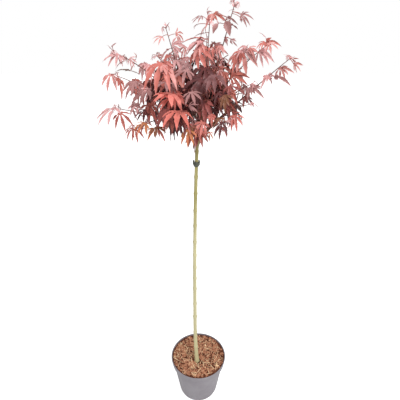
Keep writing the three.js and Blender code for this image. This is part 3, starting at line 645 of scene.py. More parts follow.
class Finish:
    """One material, with a Principled shader that the makers below fill in."""

    def __init__(self, name, roughness, specular):
        self.material = bpy.data.materials.new(name)
        self.material.use_nodes = True
        self.tree = self.material.node_tree
        self.shader = self.tree.nodes["Principled BSDF"]
        self.shader.inputs["Roughness"].default_value = roughness
        self.shader.inputs["Specular IOR Level"].default_value = specular

    def group(self, effect_tree, place, **settings):
        """A shared effect, set in this material."""
        made = self.tree.nodes.new("ShaderNodeGroup")
        made.node_tree = effect_tree
        self.tree.links.new(place, made.inputs["Place"])
        for title, value in settings.items():
            socket = made.inputs[title.replace("_", " ")]
            if isinstance(value, bpy.types.NodeSocket):
                self.tree.links.new(value, socket)
            else:
                socket.default_value = value
        return made.outputs

    def colour(self, socket):
        self.tree.links.new(socket, self.shader.inputs["Base Color"])

    def cloudy(self, place, first, second, scale, share):
        """Patches of a second colour (0 to 255) in the first, which may be a socket, and their mask."""
        if not isinstance(first, bpy.types.NodeSocket):
            first = linear(first)
        made = self.group(CLOUDY, place, First=first, Second=linear(second), Scale=scale, Share=share)
        return made["Colour"], made["Mask"]

    def patched(self, place, first, second, scale, share):
        """The same patches as the base colour. Gives their mask."""
        colour, mask = self.cloudy(place, first, second, scale, share)
        self.colour(colour)
        return mask

    def relief(self, place, scale, strength, depth, coarse=0.5):
        """A bump of fine grain. depth is in metres."""
        grain = self.group(GRAIN, place, Scale=scale, Coarse_share=coarse)
        bump = node(self.tree, "ShaderNodeBump", Strength=strength, Distance=depth)
        self.tree.links.new(grain["Height"], bump.inputs["Height"])
        self.tree.links.new(bump.outputs["Normal"], self.shader.inputs["Normal"])

    def uneven_gloss(self, mask, low, high):
        """Roughness from low to high by a mask."""
        made = node(self.tree, "ShaderNodeMapRange", To_Min=low, To_Max=high)
        self.tree.links.new(mask, made.inputs["Value"])
        self.tree.links.new(made.outputs["Result"], self.shader.inputs["Roughness"])


def leaf_finish(tone):
    """Thin leaf tissue: one tone with soft patches of a second, and a satin surface."""
    finish = Finish("leaf_" + tone, roughness=0.48, specular=0.35)
    place = places(finish.tree)
    mask = finish.patched(place, *LEAF_TONES[tone], scale=60.0, share=0.75)
    finish.uneven_gloss(mask, low=0.42, high=0.56)
    finish.relief(place, scale=900.0, strength=0.25, depth=0.0004)
    return finish.material


def stalk_finish():
    finish = Finish("leaf_stalk_red", roughness=0.42, specular=0.4)
    place = places(finish.tree)
    finish.patched(place, (150, 66, 62), (186, 104, 92), scale=60.0, share=0.8)
    finish.relief(place, scale=700.0, strength=0.3, depth=0.0003)
    return finish.material


def shoot_finish():
    """Smooth young bark, wine red with browner patches."""
    finish = Finish("shoot_bark", roughness=0.5, specular=0.4)
    place = places(finish.tree, (1, 1, 0.4))
    mask = finish.patched(place, (96, 50, 46), (132, 86, 70), scale=90.0, share=0.7)
    finish.uneven_gloss(mask, low=0.42, high=0.62)
    finish.relief(place, scale=600.0, strength=0.5, depth=0.0005)
    return finish.material


def bough_finish():
    """Older bark, brown with olive patches and small dark ones."""
    finish = Finish("bough_bark", roughness=0.6, specular=0.35)
    place = places(finish.tree, (1, 1, 0.5))
    brown, _ = finish.cloudy(place, (92, 56, 46), (128, 98, 68), scale=55.0, share=0.8)
    mask = finish.patched(place, brown, (66, 36, 34), scale=160.0, share=0.6)
    finish.uneven_gloss(mask, low=0.5, high=0.75)
    finish.relief(place, scale=500.0, strength=0.6, depth=0.0008)
    return finish.material


def trunk_finish():
    """Smooth olive bark: streaks up the stem, paler patches, browner towards the graft."""
    finish = Finish("trunk_bark", roughness=0.5, specular=0.4)
    tree = finish.tree
    streaks = places(tree, (1, 1, 0.06))
    patches = places(tree, (1, 1, 0.35))
    olive, _ = finish.cloudy(streaks, (158, 149, 88), (194, 185, 130), scale=150.0, share=0.8)
    worn, mask = finish.cloudy(patches, olive, (124, 116, 64), scale=42.0, share=0.4)
    where = tree.nodes.new("ShaderNodeSeparateXYZ")
    tree.links.new(places(tree), where.inputs[0])
    height = where.outputs["Z"]
    pale = ramp(tree, height, *(level * MM for level in TRUNK["pale"]))
    bleached = mix(tree, 0.6, worn, linear((218, 211, 172)))
    lower = mix(tree, pale, worn, bleached)
    near_graft = ramp(tree, height, *(level * MM for level in TRUNK["graft"]))
    finish.colour(mix(tree, near_graft, lower, linear((122, 96, 62))))
    finish.uneven_gloss(mask, low=0.42, high=0.62)
    finish.relief(streaks, scale=420.0, strength=0.5, depth=0.0006)
    return finish.material


def pot_finish():
    """Moulded grey plastic: satin, faintly clouded, with dusty and rubbed patches."""
    finish = Finish("pot_plastic", roughness=0.5, specular=0.45)
    place = places(finish.tree)
    grey, _ = finish.cloudy(place, (146, 141, 147), (136, 130, 137), scale=14.0, share=0.9)
    mask = finish.patched(place, grey, (158, 154, 157), scale=75.0, share=0.25)
    finish.uneven_gloss(mask, low=0.46, high=0.66)
    finish.relief(place, scale=900.0, strength=0.25, depth=0.0003, coarse=0.8)
    return finish.material


def mulch_finish(name, first, second):
    """Dry torn bark in two colours."""
    finish = Finish(name, roughness=0.9, specular=0.25)
    place = places(finish.tree)
    finish.patched(place, first, second, scale=220.0, share=0.85)
    finish.relief(place, scale=900.0, strength=0.8, depth=0.001)
    return finish.material


def tie_finish():
    """Dark soft rubber, greyer where it is worn."""
    finish = Finish("tie_rubber", roughness=0.5, specular=0.45)
    place = places(finish.tree)
    mask = finish.patched(place, (66, 69, 58), (112, 114, 98), scale=130.0, share=0.7)
    finish.uneven_gloss(mask, low=0.4, high=0.65)
    finish.relief(place, scale=800.0, strength=0.6, depth=0.0005)
    return finish.material


# The pot

def turned_profile(heap, profile, segments):
    """A surface turned from its profile of (radius, height)."""
    angle = np.arange(segments) * FULL_TURN / segments
    points = [(r * math.cos(a), r * math.sin(a), z) for r, z in profile for a in angle]
    heap.add(np.array(points), ring_faces(len(profile), segments))


def eased(corners, radius, steps=4):
    """A profile with its corners rounded."""
    corners = np.asarray(corners, float)
    made = [corners[0]]
    for before, corner, after in zip(corners, corners[1:], corners[2:]):
        back, ahead = before - corner, after - corner
        cut = min(radius, 0.45 * np.linalg.norm(back), 0.45 * np.linalg.norm(ahead))
        start, end = corner + unit(back) * cut, corner + unit(ahead) * cut
        for t in np.linspace(0, 1, steps):
            made.append((1 - t) ** 2 * start + 2 * t * (1 - t) * corner + t * t * end)
    made.append(corners[-1])
    return made


def pot_profile():
    """From the rim of the drain ring under the floor, up outside, over the lip and down inside."""
    collar_bottom = POT["height"] - POT["collar_height"]
    slope = (POT["shoulder"] - POT["foot"]) / (collar_bottom - POT["foot_edge"])
    wall, rim, height, lip, sole = (POT[key] for key in ("wall", "rim", "height", "lip", "sole"))
    groove = POT["groove"]

    def body(z):
        return POT["foot"] + slope * (z - POT["foot_edge"])

    outside = [
        (sole - POT["ring"], POT["sunk"]), (sole - 2.5, 0), (sole, 0.2), (sole + 3.4, 1.9),
        (sole + (POT["foot"] - sole) * 0.7, POT["foot_edge"] * 0.4), (POT["foot"], POT["foot_edge"]),
        (body(19) + 0.1, 19), (body(20) - groove, 20), (body(21.4) - groove, 21.4), (body(22.4), 22.4),
        (body(90), 90), (body(collar_bottom - 7), collar_bottom - 7),
        (body(collar_bottom - 5.8) - groove, collar_bottom - 5.8),
        (POT["shoulder"] - 0.4, collar_bottom - 1),
        (POT["shoulder"] + 0.6, collar_bottom + 0.2), (POT["collar_foot"] - 0.6, collar_bottom + 0.6),
        (POT["collar_foot"], collar_bottom + 1.8), (rim - 1.8, height - lip - 2.4),
        (rim - 0.2, height - lip - 0.4), (rim, height - lip + 0.4), (rim - 0.1, height - 0.8),
        (rim - 0.8, height), (rim - lip + 0.4, height), (rim - lip, height - 0.8),
    ]
    inside = [
        (POT["collar_foot"] - wall, collar_bottom + POT["collar_inside"]),
        (body(collar_bottom) - wall, collar_bottom + 1), (POT["foot"] - wall, POT["foot_edge"]),
        (sole - wall, POT["floor"]), (sole - POT["ring"], POT["floor"]),
    ]
    return eased(outside + inside, POT["eased"])


def pot_floor(heap):
    """The floor between its drain holes, as one share round each hole, with the holes' walls."""
    reach = POT["sole"] - POT["ring"]
    sector = FULL_TURN / DRAIN["count"]
    around, steps = DRAIN["around"], DRAIN["steps"]
    shift = (steps + 1) * around
    for k in range(DRAIN["count"]):
        turn = k * sector
        centre = DRAIN["ring"] * np.array([math.cos(turn), math.sin(turn)])
        angles = np.arange(around) * FULL_TURN / around + turn
        hole = centre + DRAIN["radius"] * np.stack([np.cos(angles), np.sin(angles)], axis=1)
        edge = np.array([on_sector_edge(centre, a, turn, sector, reach) for a in angles])
        flat = np.vstack([hole + (edge - hole) * (s / steps) for s in range(steps + 1)])
        under = np.column_stack([flat, np.full(shift, POT["sunk"])])
        upper = np.column_stack([flat, np.full(shift, POT["floor"])])
        faces = []
        for a, b, c, d in ring_faces(steps + 1, around):
            faces.append((a, b, c, d))
            faces.append((shift + d, shift + c, shift + b, shift + a))
        for i in range(around):
            j = (i + 1) % around
            faces.append((j, i, shift + i, shift + j))
        heap.add(np.vstack([under, upper]), faces)


def on_sector_edge(centre, angle, turn, sector, reach):
    """Where a ray from a hole's centre meets the border of its share of the floor."""
    ray = np.array([math.cos(angle), math.sin(angle)])
    b = float(centre @ ray)
    best = -b + math.sqrt(b * b + reach**2 - float(centre @ centre))
    for side in (-1, 1):
        edge = turn + side * sector / 2
        normal = np.array([-math.sin(edge), math.cos(edge)]) * side
        rate = float(ray @ normal)
        if rate > 1e-9:
            best = min(best, -float(centre @ normal) / rate)
    return centre + ray * best


def make_pot():
    heap = Heap()
    turned_profile(heap, pot_profile(), POT["segments"])
    pot_floor(heap)
    heap.piece("pot_shell", pot_finish(), "pot", ["pot"])


# The bark mulch

TRUNK_CURVE = smooth_through(TRUNK_LINE)


def trunk_at(height):
    """The trunk's middle at a height."""
    line = TRUNK_CURVE.points
    return np.array([np.interp(height, line[:, 2], line[:, k]) for k in range(2)] + [height])


def mulch_height(x, y):
    """How high the mulch lies: a low dome that ripples, with a hollow round the trunk."""
    foot = trunk_at(MULCH["surface"])
    share = np.hypot(x, y) / POT["rim"]
    (a, b), (c, d) = MULCH["ripples"]
    ripple = np.sin(x * a + y * b) * np.cos(x * c + y * d)
    aside = np.hypot(x - foot[0], y - foot[1])
    start, width = (TRUNK["foot"] * radii for radii in MULCH["hollow"])
    free = np.clip((aside - start) / width, 0, 1)
    free = free * free * (3 - 2 * free)
    bulge = MULCH["crown"] * (1 - share**2) + MULCH["rough"] * ripple
    return MULCH["surface"] + free * bulge - (1 - free) * MULCH["sunk_at_trunk"]


def mulch_bed(edge):
    """The dark ground under the loose shreds, lumpy, up to the pot's wall."""
    heap = Heap()
    rings, spokes = MULCH["rings"], MULCH["spokes"]
    radius = np.linspace(edge / rings, edge, rings)
    angle = np.arange(spokes) * FULL_TURN / spokes
    x = (radius[:, None] * np.cos(angle)).ravel()
    y = (radius[:, None] * np.sin(angle)).ravel()
    lumps = np.random.default_rng(SEEDS["bed"]).normal(0, MULCH["lumps"], len(x))
    fade = np.repeat(np.clip((edge - radius) / MULCH["fade"], 0, 1), spokes)
    z = mulch_height(x, y) - MULCH["bed_depth"] + lumps * fade
    middle = [[0, 0, float(mulch_height(0.0, 0.0)) - MULCH["bed_depth"]]]
    points = np.vstack([middle, np.column_stack([x, y, z])])
    faces = [(0, 1 + k, 1 + (k + 1) % spokes) for k in range(spokes)]
    faces += [(a, d, c, b) for a, b, c, d in ring_faces(rings, spokes, first=1)]
    heap.add(points, faces)
    return heap


def shred(heap, draw, place, length, width, thickness, lie):
    """One torn strip of bark: bent, tapered, and rough at its ends."""
    stations = SHRED["stations"]
    heading = draw.uniform(0, math.pi)
    ahead = unit(np.array([math.cos(heading), math.sin(heading), math.tan(draw.normal(0, lie))]))
    side = turned(unit(np.cross(UP, ahead)), ahead, draw.normal(0, lie * SHRED["twist"]))
    top = np.cross(ahead, side)
    bow, sweep = draw.normal(0, SHRED["bow"]), draw.normal(0, SHRED["sweep"])
    rings = []
    for s in np.linspace(-0.5, 0.5, stations):
        arch = length * (1 - 4 * s * s)
        middle = place + ahead * s * length + top * bow * arch + side * sweep * arch
        half = width / 2 * (1 - SHRED["taper"] * (2 * abs(s)) ** 3) * draw.uniform(*SHRED["ragged"])
        thick = thickness / 2 * draw.uniform(*SHRED["uneven"])
        for across, up in SHRED["section"]:
            rings.append(middle + side * across * half + top * up * thick)
    ends = [(3, 2, 1, 0), tuple(range(4 * stations - 4, 4 * stations))]
    heap.add(np.array(rings), ends + ring_faces(stations, 4))


# Kinds of bark piece: how many, length, width, thickness, how unevenly they lie, and colours
SHREDS = {
    "chips": (340, (7, 20), (3.4, 8), (1.2, 2.6), 0.2, (196, 140, 110), (152, 98, 70)),
    "dark": (330, (4, 14), (2, 5), (1, 2.2), 0.25, (122, 70, 48), (84, 46, 30)),
    "rust": (420, (5, 18), (1.4, 4), (0.8, 1.8), 0.26, (206, 148, 116), (168, 107, 80)),
    "straw": (320, (8, 27), (0.9, 2.6), (0.6, 1.3), 0.3, (255, 226, 184), (238, 194, 154)),
}


def mulch_edge():
    """The radius of the pot's inside at the height of the mulch."""
    collar_bottom = POT["height"] - POT["collar_height"]
    low = POT["collar_foot"] - POT["wall"]
    start = collar_bottom + POT["collar_inside"]
    slope = (POT["rim"] - POT["lip"] - low) / (POT["height"] - start)
    return low + slope * (MULCH["surface"] - start) - MULCH["gap"]


def make_mulch():
    edge = mulch_edge()
    bed = mulch_bed(edge)
    bed.piece("mulch_bed", mulch_finish("mulch_bed_dark", (116, 66, 44), (72, 38, 24)), "mulch", ["mulch"])
    draw = np.random.default_rng(SEEDS["shreds"])
    foot = trunk_at(MULCH["surface"])
    off_wall, wall_share = MULCH["from_wall"]
    off_trunk, trunk_share = MULCH["from_trunk"]
    for name, (count, lengths, widths, thick, lie, first, second) in SHREDS.items():
        heap = Heap()
        for _ in range(count):
            length, width = draw.uniform(*lengths), draw.uniform(*widths)
            reach = (edge - off_wall - length * wall_share) * math.sqrt(draw.uniform(0.001, 1))
            turn = draw.uniform(0, FULL_TURN)
            x, y = reach * math.cos(turn), reach * math.sin(turn)
            aside = math.hypot(x - foot[0], y - foot[1])
            if aside < TRUNK["foot"] + TRUNK["flare"] + off_trunk + length * trunk_share:
                continue
            z = float(mulch_height(x, y)) + draw.uniform(*MULCH["pile"])
            shred(heap, draw, np.array([x, y, z]), length, width, draw.uniform(*thick), lie)
        heap.piece("mulch_" + name, mulch_finish("mulch_" + name, first, second), "mulch", smooth=False)


# The trunk, the tie and the boughs

def bark_relief(seed, streak, pores=0, length=1):
    """Shallow streaks along a limb and scattered breathing pores, in millimetres."""
    draw = np.random.default_rng(seed)
    phases = draw.uniform(0, FULL_TURN, 6)
    spots = np.column_stack([draw.uniform(0, FULL_TURN, pores), draw.uniform(0, length, pores)])

    def relief(angle, along):
        height = np.zeros(np.broadcast(angle, along).shape)
        for k, (waves, rate) in enumerate(STREAKS):
            height += streak / (k + 1) * np.cos(waves * angle + rate * along + phases[k])
        swell = np.sin(along * SWELLS["rate"] + phases[3]) * np.cos(SWELLS["waves"] * angle + phases[4])
        height += streak * SWELLS["share"] * swell
        for turn, place in spots:
            near = (np.cos(angle - turn) - 1) * PORE["narrow"]
            height += PORE["height"] * np.exp(near - ((along - place) / PORE["half_length"]) ** 2)
        return height

    return relief


def trunk_radius(height):
    share = (height - TRUNK_LINE[0][2]) / (TRUNK_LINE[-1][2] - TRUNK_LINE[0][2])
    radius = between((TRUNK["foot"], TRUNK["top"]), share)
    radius = radius + TRUNK["flare"] * np.exp(-(height - MULCH["surface"]) / TRUNK["flare_height"])
    for ring in TRUNK_NODES:
        radius = radius + NODE_SWELL["bulge"] * bump_at(height, ring, NODE_SWELL["height"])
        for out, up in LEAF_RING["lines"]:
            radius = radius + out * bump_at(height, ring + up, LEAF_RING["width"])
    return radius + GRAFT["bulge"] * bump_at(height, TRUNK_LINE[-1][2] - GRAFT["spread"], GRAFT["spread"])


def make_trunk():
    heap = Heap()
    heights = np.arange(TRUNK["ground"], TRUNK_LINE[-1][2] + 0.1, TRUNK["step"])
    points = np.array([trunk_at(z) for z in heights])
    tall = heights[-1] - heights[0]
    plain = bark_relief(seed=5, streak=0.11, pores=150, length=tall)
    knob = bark_relief(seed=6, streak=KNOBS["height"])

    def relief(angle, along):
        near_top = np.clip((along - (tall - KNOBS["below_top"])) / KNOBS["fade"], 0, 1)
        near_foot = np.exp(-along / ROOT_RIBS["reach"])
        ribs = np.cos(ROOT_RIBS["count"] * angle + ROOT_RIBS["turn"]) * ROOT_RIBS["height"] * near_foot
        return plain(angle, along) + knob(angle, along * KNOBS["stretch"]) * near_top + ribs

    tube(heap, points, trunk_radius(heights), TRUNK["sides"], relief)
    for side in (-1, 1):
        start = trunk_at(BUD_STUB["height"])
        share = np.linspace(0, 1, BUD_STUB["stations"])
        line = start + share[:, None] * np.array([side * BUD_STUB["reach"], 0, BUD_STUB["rise"]])
        radii = between((BUD_STUB["root"], BUD_STUB["tip"]), share)
        tube(heap, line, radii, BUD_STUB["sides"], bark_relief(seed=8 + side, streak=0.12))
    heap.piece("trunk_bark", trunk_finish(), "bark", ["trunk"])


def strap(heap, centre, tilt, turn, half_width, half_depth, tall, thick):
    """A closed soft band round the trunk, tilted, with rounded edges."""
    steps, around = TIE["steps"], TIE["around"]
    rim = []
    for a in np.arange(around) * FULL_TURN / around:
        rise = math.copysign(abs(math.sin(a)) ** TIE["squareness"], math.sin(a))
        rim.append((thick / 2 * math.cos(a), tall / 2 * rise))
    points = []
    for a in np.arange(steps) * FULL_TURN / steps:
        out = np.array([math.cos(a), math.sin(a), 0])
        middle = centre + np.array([half_width * math.cos(a), half_depth * math.sin(a), 0])
        middle = middle + UP * tilt * math.sin(a + turn)
        wave = TIE["wave_up"] * math.sin(TIE["waves"] * a + turn)
        for across, up in rim:
            points.append(middle + out * (across + wave * TIE["wave_out"]) + UP * (up + wave))
    heap.add(np.array(points), ring_faces(steps, around, closed=True))


def make_tie():
    heap = Heap()
    centre = trunk_at(TIE["middle"])
    for rise, *sizes in TIE["straps"]:
        strap(heap, centre + UP * rise, *sizes)
    for side in (-1, 1):
        line = smooth_through(centre + np.array(TIE["knots"]) * (side, 1, 1), 8).points
        bulge = np.sin(np.linspace(0, math.pi, len(line)))
        radii = TIE["knot_radius"] + TIE["knot_bulge"] * bulge
        tube(heap, line, radii, TIE["knot_sides"], bark_relief(seed=15 + side, streak=0.1))
    heap.piece("stem_tie_band", tie_finish(), "tie", ["stem_tie"])


def branch_curve(name):
    branch = BRANCHES[name]
    tip = np.array(branch["tip"], float)
    if "stem" in branch:
        root = branch_curve(branch["stem"]).at(branch["at"])
    else:
        root = np.array(TRUNK_LINE[-1], float) - UP * GRAFT["forks"]
    return bowed(root, tip, 2 * branch["arch"])


def branch_radius(name, share):
    root = BRANCH["fork"] if "stem" in BRANCHES[name] else BRANCH["root"]
    return BRANCH["tip"] + (root - BRANCH["tip"]) * (1 - share) ** BRANCH["fineness"]


CURVES = {name: branch_curve(name) for name in BRANCHES}


def make_boughs():
    heap = Heap()
    for seed, (name, curve) in enumerate(CURVES.items()):
        share = np.linspace(0, BRANCH["split"] + BRANCH["overlap"], BRANCH["stations"])
        points = np.array([curve.at(s) for s in share])
        radii = branch_radius(name, share)
        if "stem" in BRANCHES[name]:
            radii = radii + BRANCH["collar"] * np.exp(-share * curve.length / BRANCH["collar_length"])
        length = curve.length * BRANCH["split"]
        relief = bark_relief(seed=40 + seed, streak=0.16, pores=16, length=length)
        tube(heap, points, radii, BRANCH["sides"], relief)
    boughs = ["bough_" + name for name in BRANCHES]
    heap.piece("boughs_bark", bough_finish(), "boughs", boughs)


# Growth: where the shoots, twigs, leaf stalks and leaves of each branch lie

class Leaf:
    """One leaf: its stalk from place to joint, and the blade's directions, length, tone, how far it
    curls down, how far its lobes are spread and how broad they are."""

    def __init__(self, place, joint, forward, face, length, tone, curl, spread, breadth=1.0):
        self.place, self.joint = place, joint
        self.forward, self.face = forward, face
        self.length, self.tone, self.curl, self.spread = length, tone, curl, spread
        self.breadth = breadth

    def seen_at(self):
        """The pixel and the distance ahead at which the camera sees the blade's middle."""
        return pixel_of(self.joint + self.forward * self.length * LEAF["middle"])


def pair_side(tangent, turn):
    """The way in which the first leaf of a pair stands off the wood."""
    level = np.cross(UP, tangent)
    if level @ level < NEARLY_UPRIGHT:
        level = np.array([1, 0.3, 0])
    return turned(unit(level), tangent, turn)


def leaning(lean, side, tangent):
    """A direction from its shares of a side, of the way that the wood grows and of up."""
    return unit(side * lean[0] + tangent * lean[1] + UP * lean[2])


def leaf_at(place, side, tangent, size, draw, tone):
    out = leaning(STALK["lean"], side, tangent)
    stalk = between(STALK["length"], draw()) * math.sqrt(size)
    heading = np.array([out[0], out[1], 0])
    if heading @ heading < NEARLY_UPRIGHT:
        heading = np.array([side[0], side[1], 0])
    heading = turned(unit(heading), UP, math.radians(LEAF["wander"]) * (draw() - 0.5))
    droop = math.radians(between(LEAF["droop"], draw()))
    roll = math.radians(LEAF["roll"]) * (2 * draw() - 1)
    length = between(LEAF["length"], draw()) * size
    forward = heading * math.cos(droop) - UP * math.sin(droop)
    face = turned(heading * math.sin(droop) + UP * math.cos(droop), forward, roll)
    return Leaf(place, place + out * stalk, forward, face, length, tone, LEAF["curl"], LEAF["spread"])


def pair_at(curve, share, turn, size, draw, tone):
    """Two leaves on opposite sides of the wood."""
    place, tangent = curve.at(share), curve.direction(share)
    halves = (0, math.pi)
    return [leaf_at(place, pair_side(tangent, turn + half), tangent, size, draw, tone) for half in halves]


def twig_from(stem, share, turn, scale, draw, tone):
    """A side twig, with a pair of leaves on its way and a pair at its end."""
    place, tangent = stem.at(share), stem.direction(share)
    side = pair_side(tangent, turn if draw() < 0.5 else turn + math.pi)
    length = between(TWIG["length"], draw())
    tip = place + leaning(TWIG["lean"], side, tangent) * length
    curve = bowed(place, tip, length * TWIG["bow"], TWIG["stations"])
    leaves = []
    for i, (at, size) in enumerate(zip(TWIG["shares"], TWIG["sizes"])):
        leaves += pair_at(curve, at, math.radians(90 * i + 30 * draw()), size * scale, draw, tone)
    return curve, leaves


def grow(name, seed):
    """The shoot of one branch with its twigs and leaves."""
    branch = BRANCHES[name]
    tones = branch["tones"].split()
    scale = branch.get("leaf", 1)
    draw = seeded(seed)
    whole = CURVES[name]
    stem = whole.part(BRANCH["split"] + SHOOT["gap"] / whole.length, 1, SHOOT["stations"])
    count = max(SHOOT["fewest"], round(stem.length / SHOOT["node_gap"]))
    twigs, leaves = [], []
    for i in range(count):
        progress = i / (count - 1)
        share = between(SHOOT["nodes"], progress)
        turn = (i % 2) * math.pi / 2 + math.radians(SHOOT["wander"]) * (draw() - 0.5)
        size = between((LEAF["young"], 1), 1 - progress**3) * scale
        # The tones darken towards the shoot's foot: partly painted shade deep in the crown, partly paler
        # young leaves at the tip
        leaves += pair_at(stem, share, turn, size, draw, tones[min(2, int(progress * 3))])
        if i < TWIG["at_nodes"]:
            curve, more = twig_from(stem, share, turn + math.pi / 2, scale, draw, tones[1])
            twigs.append(curve)
            leaves += more
    return stem, twigs, leaves


def sight(x, y):
    """The direction in which the camera sees a pixel."""
    ahead = np.array([0, math.cos(LOOK_DOWN), -math.sin(LOOK_DOWN)])
    upright = np.array([0, math.sin(LOOK_DOWN), math.cos(LOOK_DOWN)])
    right = np.array([(x - IMAGE_SIDE / 2) / FOCAL, 0, 0])
    return unit(ahead + right + upright * (IMAGE_SIDE / 2 - y) / FOCAL)


def pixel_of(point):
    """The pixel and the distance ahead at which the camera sees a place."""
    x, y, z = point - EYE
    distance = y * math.cos(LOOK_DOWN) - z * math.sin(LOOK_DOWN)
    rise = y * math.sin(LOOK_DOWN) + z * math.cos(LOOK_DOWN)
    return np.array([x, -rise]) * FOCAL / distance + IMAGE_SIDE / 2, distance


def in_heart(spot, scale=1):
    """Whether a pixel is in the dense heart of the crown, or in one larger by a scale."""
    offset = np.subtract(spot, HEART["middle"]) / HEART["half"]
    return offset @ offset < scale * scale


def seen_stalk(x, y, wood, draw):
    """Where a seen leaf's stalk leaves the nearest wood, where it ends on the pixel's line of sight,
    and the fine twig that carries it where the wood is farther off."""
    line = sight(x, y)
    ahead = (wood - EYE) @ line
    gaps = np.linalg.norm(wood - EYE - ahead[:, None] * line, axis=1)
    nearest = int(np.argmin(gaps))
    gap = gaps[nearest]
    length = draw.uniform(*SEEN["stalk"])
    behind = not in_heart((x, y), SEEN["before"]) and draw.random() < SEEN["behind"]
    joint = EYE + line * (ahead[nearest] + (1 if behind else -1) * math.sqrt(max(0, length**2 - gap**2)))
    if gap <= SEEN["far"]:
        return wood[nearest], joint, None
    start = wood[max(0, nearest - SEEN["back"])]
    place = joint - unit(joint - start) * length
    return place, joint, bowed(start, place, gap * SEEN["bow"], SEEN["stations"])


def seen_leaf(row, wood, draw):
    """A leaf on the lines of sight of its two pixels, and its twig or None."""
    x, y, tip_x, tip_y, tone, aside, spread, *size = row
    place, joint, twig = seen_stalk(x, y, wood, draw)
    tip_line = sight(tip_x, tip_y)
    closest = EYE + tip_line * ((joint - EYE) @ tip_line)
    across = np.linalg.norm(closest - joint)
    reach = max(across * SEEN["spare"], across * SEEN["ahead"] + SEEN["least"], *size)
    side = -1 if joint[1] < 0 else 1
    along = unit(closest + tip_line * side * math.sqrt(reach**2 - across**2) - joint)
    curl = draw.uniform(*SEEN["curl"])
    face = UP * SEEN["lift"] - sight(x, y)
    face = turned(unit(face - along * np.dot(face, along)), along, math.radians(aside))
    lean = math.atan(curl)
    forward = along * math.cos(lean) + face * math.sin(lean)
    face = face * math.cos(lean) - along * math.sin(lean)
    length = (reach + SEEN["past"]) / math.sqrt(1 + curl * curl)
    breadth = 1 if in_heart((x, y)) else SEEN["slender"]
    return Leaf(place, joint, forward, face, length, tone, curl, spread, breadth), twig


def stands_behind(leaf, seen):
    """Whether a grown leaf lies in the crown's heart or behind a seen leaf, and hides none."""
    spot, distance = leaf.seen_at()
    inside = in_heart(spot)
    for other_spot, other_distance in seen:
        gap = np.linalg.norm(spot - other_spot)
        if gap < HEART["cover"] and distance < other_distance + HEART["behind"]:
            return False
        inside = inside or gap < HEART["near"]
    return inside


def young_tips(name, stem, seed):
    """The pair of small leaves at the end of a shoot with seen leaves, outside the crown's heart."""
    draw = seeded(seed)
    turn = math.pi * draw()
    if name not in SEEN_LEAVES or in_heart(pixel_of(stem.at(1))[0]):
        return []
    tips = pair_at(stem, YOUNG_TIP["share"], turn, YOUNG_TIP["size"], draw, YOUNG_TIP["tone"])
    for leaf in tips:
        leaf.joint = between((leaf.place, leaf.joint), YOUNG_TIP["stalk"])
    return tips


# Leaf blades and stalks

def blade_plan():
    """The points of a flat leaf by lobe angle, distance from the joint and distance from the lobe's rib,
    and its faces."""
    points, faces, notches = [(0, 0, 0)], [], []
    heel = LOBES[-1][0] + HEEL["degrees"]
    cuts = [((a[0] + b[0]) / 2, NOTCH) for a, b in zip(LOBES, LOBES[1:])]
    for angle, along in [(-heel, HEEL["notch"]), *cuts, (heel, HEEL["notch"])]:
        notches.append(len(points))
        points.append((angle, along, 0))
    for k, (angle, length) in enumerate(LOBES):
        start = min(NOTCH * RIB_START, length * 0.5)
        rows = []
        for i in range(LOBE_STATIONS + 1):
            share = i / LOBE_STATIONS
            along = between((start, length), share)
            half = np.interp(share, *LOBE_WIDTH) * between((SHORT_LOBE, 1), length)
            half *= 1 + TEETH * (-1 if i % 2 else 1)
            rows.append(len(points))
            points.append((angle, along, 0))
            if 0 < i < LOBE_STATIONS:
                points += [(angle, along, -half), (angle, along, half)]
        right = [notches[k]] + [row + 1 for row in rows[1:-1]]
        left = [notches[k + 1]] + [row + 2 for row in rows[1:-1]]
        faces += [(0, right[0], rows[0]), (0, rows[0], left[0])]
        for i in range(LOBE_STATIONS - 1):
            faces.append((right[i], right[i + 1], rows[i + 1], rows[i]))
            faces.append((rows[i], rows[i + 1], left[i + 1], left[i]))
        faces += [(right[-1], rows[-1], rows[-2]), (rows[-2], rows[-1], left[-1])]
    return np.array(points), faces


BLADE_POINTS, BLADE_FACES = blade_plan()


def blade(heap, leaf, draw):
    """One leaf's blade, folded along its ribs. Its lobes are of uneven lengths and bend down under
    their weight, with the middle one's tip kept where it is."""
    angle, along, aside = BLADE_POINTS.T
    across = np.cross(leaf.face, leaf.forward)
    lobe_angles = [lobe[0] for lobe in LOBES]
    opened = min(1, BLADE["closed"] + BLADE["opening"] * leaf.spread)
    lengths = draw.uniform(*BLADE["lengths"], len(LOBES)) * opened
    lengths[len(LOBES) // 2] = 1
    along = along * np.interp(angle, lobe_angles, lengths)
    spread = between((BLADE["narrow"], 1), leaf.spread) * draw.uniform(*BLADE["uneven"])
    sway = np.interp(angle, lobe_angles, draw.normal(0, BLADE["sway"], len(LOBES)))
    base = np.radians(angle * spread) + sway
    pull = math.hypot(leaf.forward[2], across[2]) * draw.uniform(*BLADE["hang"])
    down = math.atan2(-across[2], -leaf.forward[2])
    turn = base + pull * (along * np.sin(down - base) - math.sin(down))
    aside = aside * leaf.breadth * np.interp(leaf.length, *SLENDER) * np.interp(leaf.spread, *CLOSED)
    u = along * np.cos(turn) - aside * np.sin(turn)
    v = along * np.sin(turn) + aside * np.cos(turn)
    fold = draw.uniform(*BLADE["fold"])
    wave = np.sin(along * BLADE["ripples"] + draw.uniform(0, BLADE["phase"]))
    hang = leaf.curl * along**2 * (1 + BLADE["outer_sag"] * (angle / LOBES[-1][0]) ** 2)
    w = fold * np.abs(aside) + BLADE["ripple"] * wave * np.sign(aside) - hang
    plan = np.stack([u, v, w], axis=1) * leaf.length
    heap.add(leaf.joint + plan @ np.stack([leaf.forward, across, leaf.face]), BLADE_FACES)


